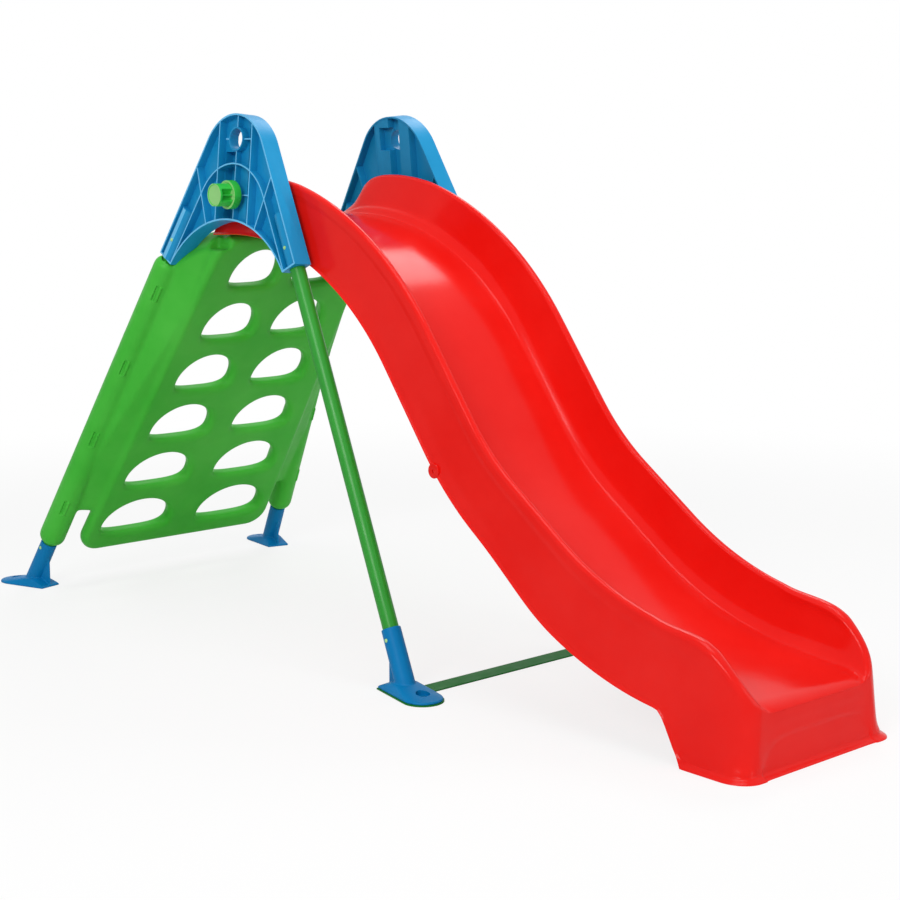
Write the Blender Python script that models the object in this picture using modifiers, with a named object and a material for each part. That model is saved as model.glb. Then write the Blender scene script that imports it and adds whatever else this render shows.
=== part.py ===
"""Climber slide: a moulded chute hung on an A-frame of snap-in tubes, with a climbing panel behind.

Units are metres, +Z is up, +X runs down the slide and Z = 0 is the floor. The slide is symmetric
about Y = 0, so each side piece is made by one function that takes a side of -1 (right) or +1 (left).
The sizes below measure X from the brackets' middle. The finished pieces are moved along X so that the
origin lies on the floor in the middle of the floor strap.
"""

import math

import bmesh
import bpy
from mathutils import Matrix, Vector

# Overall sizes
FRAME_HEIGHT = 1.200
SHOULDER_DROP = 0.230
REAR_SHOULDER_X = -0.196
FRONT_SHOULDER_X = 0.1735
REAR_FOOT_X = -0.764
REAR_FOOT_Y = 0.383
FRONT_FOOT_X = 0.646
FRONT_FOOT_Y = 0.299
FIT_GAP = 0.0003
MERGE_DISTANCE = 0.000002
OUTLINE_MERGE = 0.000005
MITRE_LIMIT = 0.3

# Tubes
TUBE_DIAMETER = 0.035
TUBE_WALL = 0.0015
TUBE_FACETS = 16
TUBE_TOP_DROP = 0.222

# Chute: the floor is a path of straight runs and arcs, each corner as x, z and arc radius
DECK_Z = FRAME_HEIGHT - 0.235
CHUTE_BACK_X = -0.140
CROWN_X = 0.297
CROWN_RISE = 0.010
CROWN_RADIUS = 0.699
KNEE_X = 0.706
KNEE_Z = 0.439
KNEE_RADIUS = 0.654
RUNOUT_X = 1.089
RUNOUT_Z = 0.174
RUNOUT_RADIUS = 0.784
LIP_X = 1.466
LIP_Z = 0.128
CHUTE_WALL = 0.004
RIM_HALF_WIDTH = 0.194
CREST_RADIUS = 0.010
CREST_TURNS = (150, 90, 30)
WALL_STEPS = ((0.12, 0.06), (0.24, 0.15), (0.36, 0.19), (0.47, 0.33), (0.72, 0.80))
SKIRT_SHARES = (0.45, 0.92, 1.0)
FLOOR_HALF_WIDTH = 0.150
RIM_HEIGHT = 0.103
SKIRT_HALF_WIDTH = 0.220
BACK_RIM_RUN = 0.130
BACK_RIM_START = 0.006
NOSE_RUN = 0.105
NOSE_HEIGHT = 0.014
NOSE_RADIUS = 0.036
UPPER_SKIRT = 0.039
LOWER_SKIRT = 0.056
SKIRT_STEP_X = 0.780
SKIRT_STEP_RUN = 0.240
STAND_BACK = 0.204
STAND_RUN = 0.075
BASE_FLANGE = 0.013
LIP_ROUND = 0.012
FRONT_LEAN = 0.060
FREE_EDGE_FLARE = 0.003
CHUTE_ROWS = 22
NOSE_ROWS = 3
ROW_CROWDING = 0.5
LUG_X = 0.669
LUG_RADIUS = 0.016
LUG_THICKNESS = 0.006
LUG_HOLE_RADIUS = 0.0045

# Knob screws: the chute hangs and turns on them
PIVOT_X = 0.0
PIVOT_DROP = 0.180
STUD_RADIUS = 0.005
STUD_CLEARANCE = 0.0003
PIVOT_PAD_RADIUS = 0.019
PIVOT_PAD_PROUD = 0.0018
HUB_GAP = 0.0005
HUB_RADIUS = 0.016
HUB_SINK = 0.004
KNOB_BASE_RADIUS = 0.0315
KNOB_BASE_DEPTH = 0.018
KNOB_GRIP_RADIUS = 0.0245
KNOB_GRIP_LENGTH = 0.044
KNOB_WALL = 0.003
KNOB_RIB = 0.0024
KNOB_NOTCH_TURNS = (90, 270)
KNOB_NOTCH_OFFSET = 0.0306
KNOB_NOTCH_RADIUS = 0.0122
NUT_RADIUS = 0.0098
NUT_THICKNESS = 0.008
NUT_CLEARANCE = 0.001

# Side brackets
BRACKET_DEPTH = 0.044
BRACKET_LEAN = math.atan(0.09)
BRACKET_TO_CHUTE = 0.010
BRACKET_BELOW_SKIRT = 0.008
BRACKET_RIM = 0.004
BRACKET_RIB = 0.0035
BRACKET_WEB = 0.003
RIB_SHY = 0.0005
BRACKET_CUT_DROP = 0.335
APEX_X = 0.006
APEX_RISE = 0.117
APEX_RADIUS = 0.123
REAR_LEG_HALF = 0.027
FRONT_LEG_OUTER = 0.027
FRONT_LEG_INNER = 0.0225
ARCH_DROP = 0.238
RIB_APEX_X = 0.0085
RIB_APEX_RISE = 0.0146
RIB_ARCH_RADIUS = 0.138
SIDE_RIB_X = 0.062
COLUMN_SPANS = ((-SIDE_RIB_X, -0.0115), (0.0265, SIDE_RIB_X))
COLUMN_TOP_DROP = 0.030
CROSS_RIB_REAR = ((-0.145, FRAME_HEIGHT - 0.120), (-0.096, FRAME_HEIGHT - 0.254))
CROSS_RIB_FRONT = ((0.144, FRAME_HEIGHT - 0.136), (0.089, FRAME_HEIGHT - 0.260))
RECESS = 0.013
HAND_HOLE_DROP = 0.055
HAND_HOLE_RADIUS = 0.0235
SOCKET_WALL = 0.003

# Climbing panel: a plate that leans a little more than the rear tubes, with a rail round each tube
PLATE_FOOT_X = -0.753
PLATE_TOP_X = -0.0966
PLATE_TOP_DROP = 0.274
PLATE_THICKNESS = 0.036
PLATE_ROUND = 0.012
PLATE_BOTTOM = 0.111
PLATE_BOTTOM_HALF = 0.296
PLATE_TOP_HALF = 0.232
PLATE_BOTTOM_CORNER = 0.055
PLATE_TOP_CORNER = 0.105
HOLE_ROWS = 6
FIRST_SILL = 0.036
LAST_SILL = 0.1605
HOLE_HEIGHT = 0.125
HOLE_CORNER = 0.034
HOLE_POINTS = 16
HOLE_FLATNESS = 0.6
HOLE_INNER = (0.042, 0.023)
HOLE_OUTER = (0.256, 0.160)
TOP_ROLL_X = -0.165
TOP_ROLL_DROP = 0.275
TOP_ROLL_RADIUS = 0.014
TOP_ROLL_HALF = 0.175
TOP_ROLL_BASE = 0.055
RAIL_RADIUS = 0.033
RAIL_ROUND = 0.024
RAIL_GAP = 0.001
WEB_RADIUS = 0.014
WEB_BOTTOM = 0.160
WEB_TOP = 0.120
CLIP_COUNT = 4
CLIP_START = 0.15
CLIP_SLOT = (0.055, 0.010, 0.007)

# Feet and floor strap
FOOT_SLEEVE_WALL = 0.006
FOOT_SLEEVE_Z = 0.119
FOOT_SLEEVE_START = 0.014
FOOT_TUBE_STOP = 0.018
FOOT_LOBE_OFFSET = 0.055
FOOT_LOBE_RADIUS = 0.047
FOOT_TAIL_OFFSET = 0.070
FOOT_TAIL_HALF = 0.030
FOOT_EDGE = 0.004
FOOT_CROWN = 0.020
ANCHOR_HOLE_RADIUS = 0.010
GUSSET_THICKNESS = 0.004
GUSSET_HEIGHT = 0.084
GUSSET_OFFSET = 0.062
STRAP_WIDTH = 0.045
STRAP_THICKNESS = 0.003
STRAP_PLATE_MARGIN = 0.0015
PLAN_FACETS = 14

# Snap buttons and their springs inside the tubes
BUTTON_RADIUS = 0.0043
BUTTON_DOME = 0.0026
BUTTON_HOLE_CLEARANCE = 0.0003
BUTTON_FLANGE_RADIUS = 0.0065
BUTTON_FLANGE = 0.0016
BUTTON_PROUD = 0.0022
BUTTON_BRACKET_DROP = 0.292
BUTTON_FOOT_Z = 0.104
SPRING_STRIP = 0.0008
SPRING_WIDTH = 0.007
SPRING_LENGTH = 0.045
SPRING_BEND = 0.004

# Sizes that follow
TUBE_RADIUS = TUBE_DIAMETER / 2
TUBE_TOP_Z = FRAME_HEIGHT - TUBE_TOP_DROP
BORE_RADIUS = TUBE_RADIUS + FIT_GAP
TUBE_INNER_FLAT = (TUBE_RADIUS - TUBE_WALL) * math.cos(math.pi / TUBE_FACETS)
SHOULDER_Z = FRAME_HEIGHT - SHOULDER_DROP
STAND_X = LIP_X - STAND_BACK
PIVOT_Z = FRAME_HEIGHT - PIVOT_DROP
STUD_BORE = STUD_RADIUS + STUD_CLEARANCE
SKIRT_EDGE_Z = DECK_Z - UPPER_SKIRT - BRACKET_BELOW_SKIRT
BRACKET_INNER_AT_SKIRT = SKIRT_HALF_WIDTH + BRACKET_TO_CHUTE
BRACKET_APEX_Y = (BRACKET_INNER_AT_SKIRT + BRACKET_DEPTH
                  - math.tan(BRACKET_LEAN) * (FRAME_HEIGHT - SKIRT_EDGE_Z))
BRACKET_CUT_Z = FRAME_HEIGHT - BRACKET_CUT_DROP
CREST_COLUMN = 1 + len(WALL_STEPS) + len(CREST_TURNS) // 2 + 1
STRAP_TOP = STRAP_THICKNESS + FIT_GAP
SLEEVE_RADIUS = BORE_RADIUS + FOOT_SLEEVE_WALL
SOCKET_RADIUS = BORE_RADIUS + SOCKET_WALL
SIDES = (("right", -1), ("left", 1))


def clear_scene():
    for obj in list(bpy.data.objects):
        bpy.data.objects.remove(obj, do_unlink=True)


def new_collection(name):
    collection = bpy.data.collections.new(name)
    bpy.context.scene.collection.children.link(collection)
    return collection


def principled(name, colour, roughness, metallic=0.0):
    material = bpy.data.materials.new(name)
    material.use_nodes = True
    shader = material.node_tree.nodes["Principled BSDF"]
    shader.inputs["Base Color"].default_value = (*colour, 1.0)
    shader.inputs["Roughness"].default_value = roughness
    shader.inputs["Metallic"].default_value = metallic
    material.diffuse_color = (*colour, 1.0)
    return material


def object_from_bmesh(name, bm):
    bmesh.ops.recalc_face_normals(bm, faces=bm.faces)
    mesh = bpy.data.meshes.new(name)
    bm.to_mesh(mesh)
    bm.free()
    obj = bpy.data.objects.new(name, mesh)
    CUTTERS.objects.link(obj)
    return obj


def bake(obj):
    """Give the object its evaluated mesh in place of its modifiers."""
    graph = bpy.context.evaluated_depsgraph_get()
    mesh = bpy.data.meshes.new_from_object(obj.evaluated_get(graph))
    obj.modifiers.clear()
    bm = bmesh.new()
    bm.from_mesh(mesh)
    bmesh.ops.remove_doubles(bm, verts=bm.verts, dist=MERGE_DISTANCE)
    bmesh.ops.dissolve_degenerate(bm, edges=bm.edges, dist=MERGE_DISTANCE)
    bmesh.ops.recalc_face_normals(bm, faces=bm.faces)
    bm.to_mesh(mesh)
    bm.free()
    obj.data = mesh
    return obj


def combine(target, tools, operation):
    """Join the tools to the target, or cut them from it; the tools stay as hidden guides."""
    for tool in tools:
        modifier = target.modifiers.new(tool.name, "BOOLEAN")
        modifier.operation = operation
        modifier.solver = "EXACT"
        modifier.object = tool
    bake(target)
    for tool in tools:
        tool.hide_render = True
        tool.display_type = "WIRE"
        tool.hide_set(True)
    return target


def join(target, tools):
    return combine(target, tools, "UNION")


def cut(target, tools):
    return combine(target, tools, "DIFFERENCE")


def finish(obj, name, material, origin=(0, 0, 0), smooth_angle=35):
    """Name a finished piece, set its origin, colour it and move it to the slide's collection."""
    obj.name = name
    obj.data.name = name
    origin = Vector(origin)
    obj.data.transform(Matrix.Translation(-origin) @ obj.matrix_world)
    obj.matrix_world = Matrix.Translation(origin - Vector((FRONT_FOOT_X, 0, 0)))
    obj.data.materials.clear()
    obj.data.materials.append(material)
    obj.data.shade_smooth()
    obj.data.set_sharp_from_angle(angle=math.radians(smooth_angle))
    CUTTERS.objects.unlink(obj)
    PIECES.objects.link(obj)
    return obj


def frame_along(origin, direction, side_hint=(0, 1, 0)):
    """A matrix whose Z runs along the direction and whose X leans towards the hint."""
    z_axis = Vector(direction).normalized()
    x_axis = Vector(side_hint)
    if x_axis.cross(z_axis).length < 0.1:
        x_axis = Vector((1, 0, 0))
    x_axis = (x_axis - z_axis * x_axis.dot(z_axis)).normalized()
    y_axis = z_axis.cross(x_axis)
    rotation = Matrix((x_axis, y_axis, z_axis)).transposed().to_4x4()
    return Matrix.Translation(Vector(origin)) @ rotation


def rod(name, start, end, radius, end_radius=None, facets=TUBE_FACETS):
    """A round bar or cone between two points."""
    start = Vector(start)
    end = Vector(end)
    bm = bmesh.new()
    bmesh.ops.create_cone(
        bm, cap_ends=True, segments=facets, depth=(end - start).length,
        radius1=radius, radius2=radius if end_radius is None else end_radius,
        matrix=frame_along((start + end) / 2, end - start))
    return object_from_bmesh(name, bm)


def block(name, size, matrix):
    """A box of the given size, centred on the matrix."""
    bm = bmesh.new()
    scale = Matrix.Diagonal((*size, 1.0))
    bmesh.ops.create_cube(bm, size=1.0, matrix=matrix @ scale)
    return object_from_bmesh(name, bm)


def turned(name, profile, matrix, steps=TUBE_FACETS, closed=False):
    """A profile of radius and height, top to bottom down its outer side, turned round the matrix's Z."""
    bm = bmesh.new()
    verts = [bm.verts.new((radius, 0, height)) for radius, height in profile]
    for first, second in zip(verts, verts[1:]):
        bm.edges.new((first, second))
    if closed:
        bm.edges.new((verts[-1], verts[0]))
    mesh = bpy.data.meshes.new(name)
    bm.to_mesh(mesh)
    bm.free()
    obj = bpy.data.objects.new(name, mesh)
    CUTTERS.objects.link(obj)
    obj.matrix_world = matrix
    screw = obj.modifiers.new("turn", "SCREW")
    screw.steps = steps
    screw.render_steps = steps
    screw.use_merge_vertices = True
    screw.merge_threshold = 0.00001
    return bake(obj)


def extruded(name, outlines, depth, matrix, rounding=0.0, round_steps=1):
    """Flat outlines, the later ones as holes, given a depth centred on the matrix's XY plane."""
    curve = bpy.data.curves.new(name, "CURVE")
    curve.dimensions = "2D"
    curve.fill_mode = "BOTH"
    curve.extrude = depth / 2 - rounding
    curve.bevel_depth = rounding
    curve.bevel_resolution = round_steps
    curve.offset = -rounding
    for outline in outlines:
        spline = curve.splines.new("POLY")
        spline.points.add(len(outline) - 1)
        for point, (u, v) in zip(spline.points, outline):
            point.co = (u, v, 0, 1)
        spline.use_cyclic_u = True
    guide = bpy.data.objects.new(name, curve)
    CUTTERS.objects.link(guide)
    guide.matrix_world = matrix
    graph = bpy.context.evaluated_depsgraph_get()
    mesh = bpy.data.meshes.new_from_object(guide.evaluated_get(graph))
    obj = bpy.data.objects.new(name, mesh)
    CUTTERS.objects.link(obj)
    obj.matrix_world = matrix
    bpy.data.objects.remove(guide, do_unlink=True)
    bm = bmesh.new()
    bm.from_mesh(mesh)
    bmesh.ops.remove_doubles(bm, verts=bm.verts, dist=OUTLINE_MERGE)
    bmesh.ops.recalc_face_normals(bm, faces=bm.faces)
    bm.to_mesh(mesh)
    bm.free()
    return obj


def hull(name, points):
    """The closed convex skin round a set of points."""
    bm = bmesh.new()
    for point in points:
        bm.verts.new(point)
    result = bmesh.ops.convex_hull(bm, input=bm.verts)
    spare = {item for key in ("geom_interior", "geom_unused") for item in result[key]}
    spare = [item for item in spare if isinstance(item, bmesh.types.BMVert)]
    bmesh.ops.delete(bm, geom=spare, context="VERTS")
    bmesh.ops.dissolve_limit(bm, angle_limit=math.radians(0.5), verts=bm.verts, edges=bm.edges)
    return object_from_bmesh(name, bm)


def ball_points(centre, radius, rings=4, facets=8):
    """Points over a ball, for a hull."""
    points = []
    for ring in range(rings + 1):
        polar = math.pi * ring / rings
        for step in range(facets if 0 < ring < rings else 1):
            turn = math.tau * step / facets
            round_z = math.sin(polar)
            offset = Vector((round_z * math.cos(turn), round_z * math.sin(turn), math.cos(polar)))
            points.append(Vector(centre) + offset * radius)
    return points


def circle_points(centre, radius, height, facets=PLAN_FACETS):
    """Points round a level circle, for a hull."""
    turns = [math.tau * step / facets for step in range(facets)]
    return [Vector((centre[0] + radius * math.cos(turn), centre[1] + radius * math.sin(turn), height))
            for turn in turns]


def filleted(corners, steps=8, closed=False):
    """Points along straight runs whose corners, given as u, v and radius, are rounded with arcs."""
    points = []
    count = len(corners)
    for index, (u, v, radius) in enumerate(corners):
        here = Vector((u, v))
        if radius == 0 or (not closed and index in (0, count - 1)):
            points.append(here)
            continue
        before = (Vector(corners[index - 1][:2]) - here).normalized()
        after = (Vector(corners[(index + 1) % count][:2]) - here).normalized()
        half = math.acos(max(-1.0, min(1.0, before.dot(after)))) / 2
        centre = here + (before + after).normalized() * radius / math.sin(half)
        start = here + before * radius / math.tan(half) - centre
        end = here + after * radius / math.tan(half) - centre
        sweep = start.angle_signed(end)
        for step in range(steps + 1):
            turn = -sweep * step / steps
            points.append(centre + Matrix.Rotation(turn, 2) @ start)
    return points


def arc_through(first, crown, last, steps):
    """Points from first to last on the circle that also passes through the crown."""
    chord_a = Vector(crown) - Vector(first)
    chord_b = Vector(last) - Vector(first)
    doubled = 2 * chord_a.cross(chord_b)
    reach = Vector((chord_b.y * chord_a.length_squared - chord_a.y * chord_b.length_squared,
                    chord_a.x * chord_b.length_squared - chord_b.x * chord_a.length_squared))
    centre = Vector(first) + reach / doubled
    start = Vector(first) - centre
    sweep = start.angle_signed(Vector(last) - centre)
    return [centre + Matrix.Rotation(-sweep * step / steps, 2) @ start for step in range(steps + 1)]


def band(points, width):
    """A closed outline of the given width along an open line of points."""
    left = []
    right = []
    for index, point in enumerate(points):
        ahead = points[min(index + 1, len(points) - 1)] - points[max(index - 1, 0)]
        normal = Vector((-ahead.y, ahead.x)).normalized() * width / 2
        left.append(point + normal)
        right.append(point - normal)
    return left + right[::-1]


def inset(points, distance):
    """A closed outline moved inwards; the outline runs clockwise."""
    moved = []
    count = len(points)
    for index, point in enumerate(points):
        before = (point - points[index - 1]).normalized()
        after = (points[(index + 1) % count] - point).normalized()
        normal_before = Vector((before.y, -before.x))
        normal_after = Vector((after.y, -after.x))
        normal = (normal_before + normal_after).normalized()
        moved.append(point + normal * distance / max(MITRE_LIMIT, normal.dot(normal_before)))
    return moved


def smooth_step(value, start, run):
    """0 before the start, 1 after the run, and an easy curve between."""
    t = max(0.0, min(1.0, (value - start) / run))
    return t * t * (3 - 2 * t)


def leg_axis(end, side):
    """The foot point and the unit direction up the leg, for end 'front' or 'rear'."""
    shoulder_x = FRONT_SHOULDER_X if end == "front" else REAR_SHOULDER_X
    foot = Vector((FRONT_FOOT_X, side * FRONT_FOOT_Y, 0)) if end == "front" else Vector(
        (REAR_FOOT_X, side * REAR_FOOT_Y, 0))
    middle_y = bracket_outer_y(SHOULDER_Z) - BRACKET_DEPTH / 2
    shoulder = Vector((shoulder_x, side * middle_y, SHOULDER_Z))
    return foot, (shoulder - foot).normalized()


def leg_point(end, side, height):
    """The point of a leg's axis at a height above the floor."""
    foot, direction = leg_axis(end, side)
    return foot + direction * height / direction.z


def foot_floor(end):
    """The level that a foot stands on: the front feet stand on the strap's end plates."""
    return STRAP_TOP if end == "front" else 0.0


def bracket_outer_y(height):
    """How far out the bracket's outer face lies at a height."""
    return BRACKET_APEX_Y + math.tan(BRACKET_LEAN) * (FRAME_HEIGHT - height)


def bracket_frame(side, depth_in=0.0):
    """The bracket's plane: X along the slide, Y up its face and Z outwards, set inwards by a depth."""
    up = Vector((0, -side * math.sin(BRACKET_LEAN), math.cos(BRACKET_LEAN)))
    out = Vector((0, side * math.cos(BRACKET_LEAN), math.sin(BRACKET_LEAN)))
    along = up.cross(out)
    rotation = Matrix((along, up, out)).transposed().to_4x4()
    apex = Vector((0, side * BRACKET_APEX_Y, FRAME_HEIGHT))
    return Matrix.Translation(apex - out * depth_in) @ rotation


def path_length(points):
    return sum((second - first).length for first, second in zip(points, points[1:]))


def along_path(points, distance):
    """The point at a distance along a line of points, and the direction there."""
    for first, second in zip(points, points[1:]):
        run = (second - first).length
        if distance <= run or second is points[-1]:
            return first + (second - first) * (distance / run), (second - first) / run
        distance -= run


def chute_floor_path():
    """The middle line of the sliding surface, from the deck to the lip."""
    return filleted([
        (CHUTE_BACK_X, DECK_Z, 0),
        (CROWN_X, DECK_Z + CROWN_RISE, CROWN_RADIUS),
        (KNEE_X, KNEE_Z, KNEE_RADIUS),
        (RUNOUT_X, RUNOUT_Z, RUNOUT_RADIUS),
        (LIP_X, LIP_Z, 0)], steps=14)


def rim_height(x, distance):
    """How far the rim stands above the floor: it rises over the deck and falls at the nose."""
    rise = math.sin(math.pi / 2 * min(1.0, distance / BACK_RIM_RUN))
    fall = smooth_step(x, LIP_X - NOSE_RUN, NOSE_RUN)
    full = (RIM_HEIGHT - BACK_RIM_START) * rise * (1 - fall)
    return BACK_RIM_START + full + (NOSE_HEIGHT - BACK_RIM_START) * fall


def skirt_depth(x, to_floor):
    """How far the skirt hangs below the chute's floor; near the nose it reaches the ground."""
    depth = UPPER_SKIRT + (LOWER_SKIRT - UPPER_SKIRT) * smooth_step(x, SKIRT_STEP_X, SKIRT_STEP_RUN)
    stand = smooth_step(x, STAND_X, STAND_RUN)
    return min(depth + (to_floor - depth) * stand, to_floor)


def chute_section(height, depth):
    """Half a section as across and up, from the floor's middle over the rim to the skirt's edge."""
    wall = RIM_HALF_WIDTH - FLOOR_HALF_WIDTH
    crest = CREST_RADIUS * (1 + height / RIM_HEIGHT) / 2
    points = [(0, 0), (FLOOR_HALF_WIDTH, 0)]
    for across, rise in WALL_STEPS:
        points.append((FLOOR_HALF_WIDTH + wall * across, height * rise))
    for turn in CREST_TURNS:
        angle = math.radians(turn)
        points.append((RIM_HALF_WIDTH + crest * math.cos(angle), height + crest * (math.sin(angle) - 1)))
    top_y, top_z = points[-1]
    for share in SKIRT_SHARES:
        points.append((top_y + (SKIRT_HALF_WIDTH - top_y) * share, top_z - (top_z + depth) * share))
    return points


def chute_row(place, direction, distance, nose_turn):
    """One row of points over the chute; the nose turn is 0 to a quarter turn round the front corner."""
    upright = smooth_step(place.x, STAND_X - STAND_RUN, STAND_RUN)
    normal = Vector((-direction.y * (1 - upright), direction.x)).normalized()
    height = rim_height(place.x, distance)
    depth = skirt_depth(place.x, place.y / normal.y)
    stand = smooth_step(place.x, STAND_X, STAND_RUN)
    pull = NOSE_RADIUS * (1 - math.cos(nose_turn)) / SKIRT_HALF_WIDTH
    flare = FREE_EDGE_FLARE + (BASE_FLANGE - FREE_EDGE_FLARE) * stand
    row = []
    section = chute_section(height, depth)
    for column, (across, up) in enumerate(section):
        point = place + normal * up
        level = max(0.0, point.y)
        if column <= CREST_COLUMN:
            level -= LIP_ROUND * (1 - math.cos(nose_turn))
        forward = FRONT_LEAN * (LIP_Z - level) * math.sin(nose_turn)
        edge = flare if column == len(section) - 1 else 0.0
        row.append(Vector((point.x + forward + edge * math.sin(nose_turn),
                           across * (1 - pull) + edge * math.cos(nose_turn), level)))
    return row


def chute_rows():
    """Rows down the path, closer together where the sides turn round the front corners."""
    path = chute_floor_path()
    total = path_length(path)
    straight = total - NOSE_RADIUS
    rows = []
    for index in range(CHUTE_ROWS + 1):
        share = index / CHUTE_ROWS
        crowded = (1 - math.cos(math.pi * share)) / 2
        distance = straight * (share + (crowded - share) * ROW_CROWDING)
        place, direction = along_path(path, distance)
        rows.append(chute_row(place, direction, distance, 0.0))
    for index in range(1, NOSE_ROWS + 1):
        turn = math.pi / 2 * index / NOSE_ROWS
        distance = straight + NOSE_RADIUS * math.sin(turn)
        place, direction = along_path(path, distance)
        rows.append(chute_row(place, direction, distance, turn))
    return rows


def front_face_rows(last_row):
    """Rows down the front face: each level of the corner is carried across to the middle."""
    top = last_row[:CREST_COLUMN]
    corner_top = last_row[CREST_COLUMN]
    rows = []
    for corner in last_row[CREST_COLUMN + 1:]:
        share = corner.z / corner_top.z
        widen = corner.y / corner_top.y
        rows.append([Vector((corner.x, point.y * widen, point.z * share)) for point in top])
    return rows


def chute_skin():
    """The chute's half surface as one mesh of rows and columns, turned over the lip."""
    rows = chute_rows()
    bm = bmesh.new()
    grid = [[bm.verts.new(point) for point in row] for row in rows]
    last = grid[-1]
    front = [last[:CREST_COLUMN + 1]]
    for offset, row in enumerate(front_face_rows(rows[-1]), start=1):
        front.append([bm.verts.new(point) for point in row] + [last[CREST_COLUMN + offset]])
    for patch in (grid, front):
        for upper, lower in zip(patch, patch[1:]):
            for column in range(len(upper) - 1):
                bm.faces.new((upper[column], lower[column], lower[column + 1], upper[column + 1]))
    mesh = bpy.data.meshes.new("chute")
    bm.to_mesh(mesh)
    bm.free()
    obj = bpy.data.objects.new("chute", mesh)
    CUTTERS.objects.link(obj)
    return obj


def skirt_face_y(height):
    """How far out the skirt's face lies beside the pivot, at a height above the ground."""
    path = chute_floor_path()
    spot = Vector((PIVOT_X, height))
    distance = 0.0
    place, direction = along_path(path, distance)
    while (spot - place).dot(direction) > 0:
        distance += FIT_GAP
        place, direction = along_path(path, distance)
    section = chute_section(rim_height(place.x, distance), skirt_depth(place.x, place.y))
    top_y, top_up = section[-1 - len(SKIRT_SHARES)]
    edge_y, edge_up = section[-1]
    up = (spot - place).dot(Vector((-direction.y, direction.x)))
    return top_y + (edge_y - top_y) * (top_up - up) / (top_up - edge_up)


def pad_outer_y():
    """The pivot pad's outer face, clear of the skirt all round the pad."""
    return skirt_face_y(PIVOT_Z - PIVOT_PAD_RADIUS) + PIVOT_PAD_PROUD


def pad_inner_y():
    """The pivot pad's inner face, where the nut bears, clear of the wall above the nut."""
    nut_top = PIVOT_Z + NUT_RADIUS
    lean = (skirt_face_y(PIVOT_Z) - skirt_face_y(nut_top)) / NUT_RADIUS
    return skirt_face_y(nut_top) - CHUTE_WALL * math.hypot(1, lean) - NUT_CLEARANCE


def make_chute(material):
    """The moulded chute: a lofted skin given a wall, with pivot pads, screw holes and two lugs."""
    chute = chute_skin()
    mirror = chute.modifiers.new("other half", "MIRROR")
    mirror.use_axis = (False, True, False)
    mirror.merge_threshold = 0.0001
    wall = chute.modifiers.new("wall", "SOLIDIFY")
    wall.thickness = CHUTE_WALL
    wall.offset = -1
    bake(chute)
    for vert in chute.data.vertices:
        vert.co.z = max(0.0, vert.co.z)
    path = chute_floor_path()
    lug_distance = 0.0
    while along_path(path, lug_distance)[0].x < LUG_X:
        lug_distance += FIT_GAP
    place, direction = along_path(path, lug_distance)
    edge = place - Vector((-direction.y, direction.x)) * UPPER_SKIRT
    additions = []
    holes = []
    for name, side in SIDES:
        inner = Vector((PIVOT_X, side * pad_inner_y(), PIVOT_Z))
        outer = Vector((PIVOT_X, side * pad_outer_y(), PIVOT_Z))
        reach = Vector((0, side * PIVOT_PAD_RADIUS, 0))
        additions.append(rod("pivot pad " + name, inner, outer, PIVOT_PAD_RADIUS))
        holes.append(rod("pivot hole " + name, inner - reach / 2, outer + reach / 2, STUD_BORE, facets=12))
        lug_in = Vector((edge.x, side * (SKIRT_HALF_WIDTH + FREE_EDGE_FLARE - LUG_THICKNESS), edge.y))
        lug_out = Vector((edge.x, side * (SKIRT_HALF_WIDTH + FREE_EDGE_FLARE), edge.y))
        reach = Vector((0, side * LUG_RADIUS, 0))
        additions.append(rod("lug " + name, lug_in, lug_out, LUG_RADIUS))
        holes.append(rod("lug hole " + name, lug_in - reach, lug_out + reach, LUG_HOLE_RADIUS, facets=12))
    join(chute, additions)
    cut(chute, holes)
    return finish(chute, "chute", material, (PIVOT_X, 0, PIVOT_Z), smooth_angle=40)


def make_leg(end, name, side, material):
    """A round tube from its stop in the foot to its stop in the bracket, drilled for two snap buttons."""
    start = leg_point(end, side, foot_floor(end) + FOOT_TUBE_STOP + FIT_GAP)
    top = leg_point(end, side, TUBE_TOP_Z)
    length = (top - start).length
    bore = TUBE_RADIUS - TUBE_WALL
    profile = [(TUBE_RADIUS, length), (TUBE_RADIUS, 0), (bore, 0), (bore, length)]
    tube = turned(f"{end}_leg_{name}", profile, frame_along(start, top - start), closed=True)
    cut(tube, [button_hole(end, side, height) for height in button_heights(end)])
    return finish(tube, f"{end}_leg_{name}", material, start)


def button_heights(end):
    return (foot_floor(end) + BUTTON_FOOT_Z, FRAME_HEIGHT - BUTTON_BRACKET_DROP)


def button_direction(end, side):
    """Outwards from the slide, square to the leg."""
    direction = leg_axis(end, side)[1]
    outwards = Vector((0, side, 0))
    return (outwards - direction * outwards.dot(direction)).normalized()


def button_hole(end, side, height):
    centre = leg_point(end, side, height)
    out = button_direction(end, side)
    return rod("button hole", centre + out * (TUBE_RADIUS / 2), centre + out * (TUBE_RADIUS * 2),
               BUTTON_RADIUS + BUTTON_HOLE_CLEARANCE, facets=10)


def foot_outline(end, side, margin):
    """The foot's base in plan: a round lobe outwards, a blunt tail inwards, grown by a margin."""
    foot, direction = leg_axis(end, side)
    outwards = -direction.xy.normalized()
    across = Vector((-outwards.y, outwards.x))
    lobe = foot.xy + outwards * FOOT_LOBE_OFFSET
    tail = foot.xy - outwards * (FOOT_TAIL_OFFSET + margin)
    half = FOOT_TAIL_HALF + margin
    return lobe, (tail + across * half, tail - across * half), outwards


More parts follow.
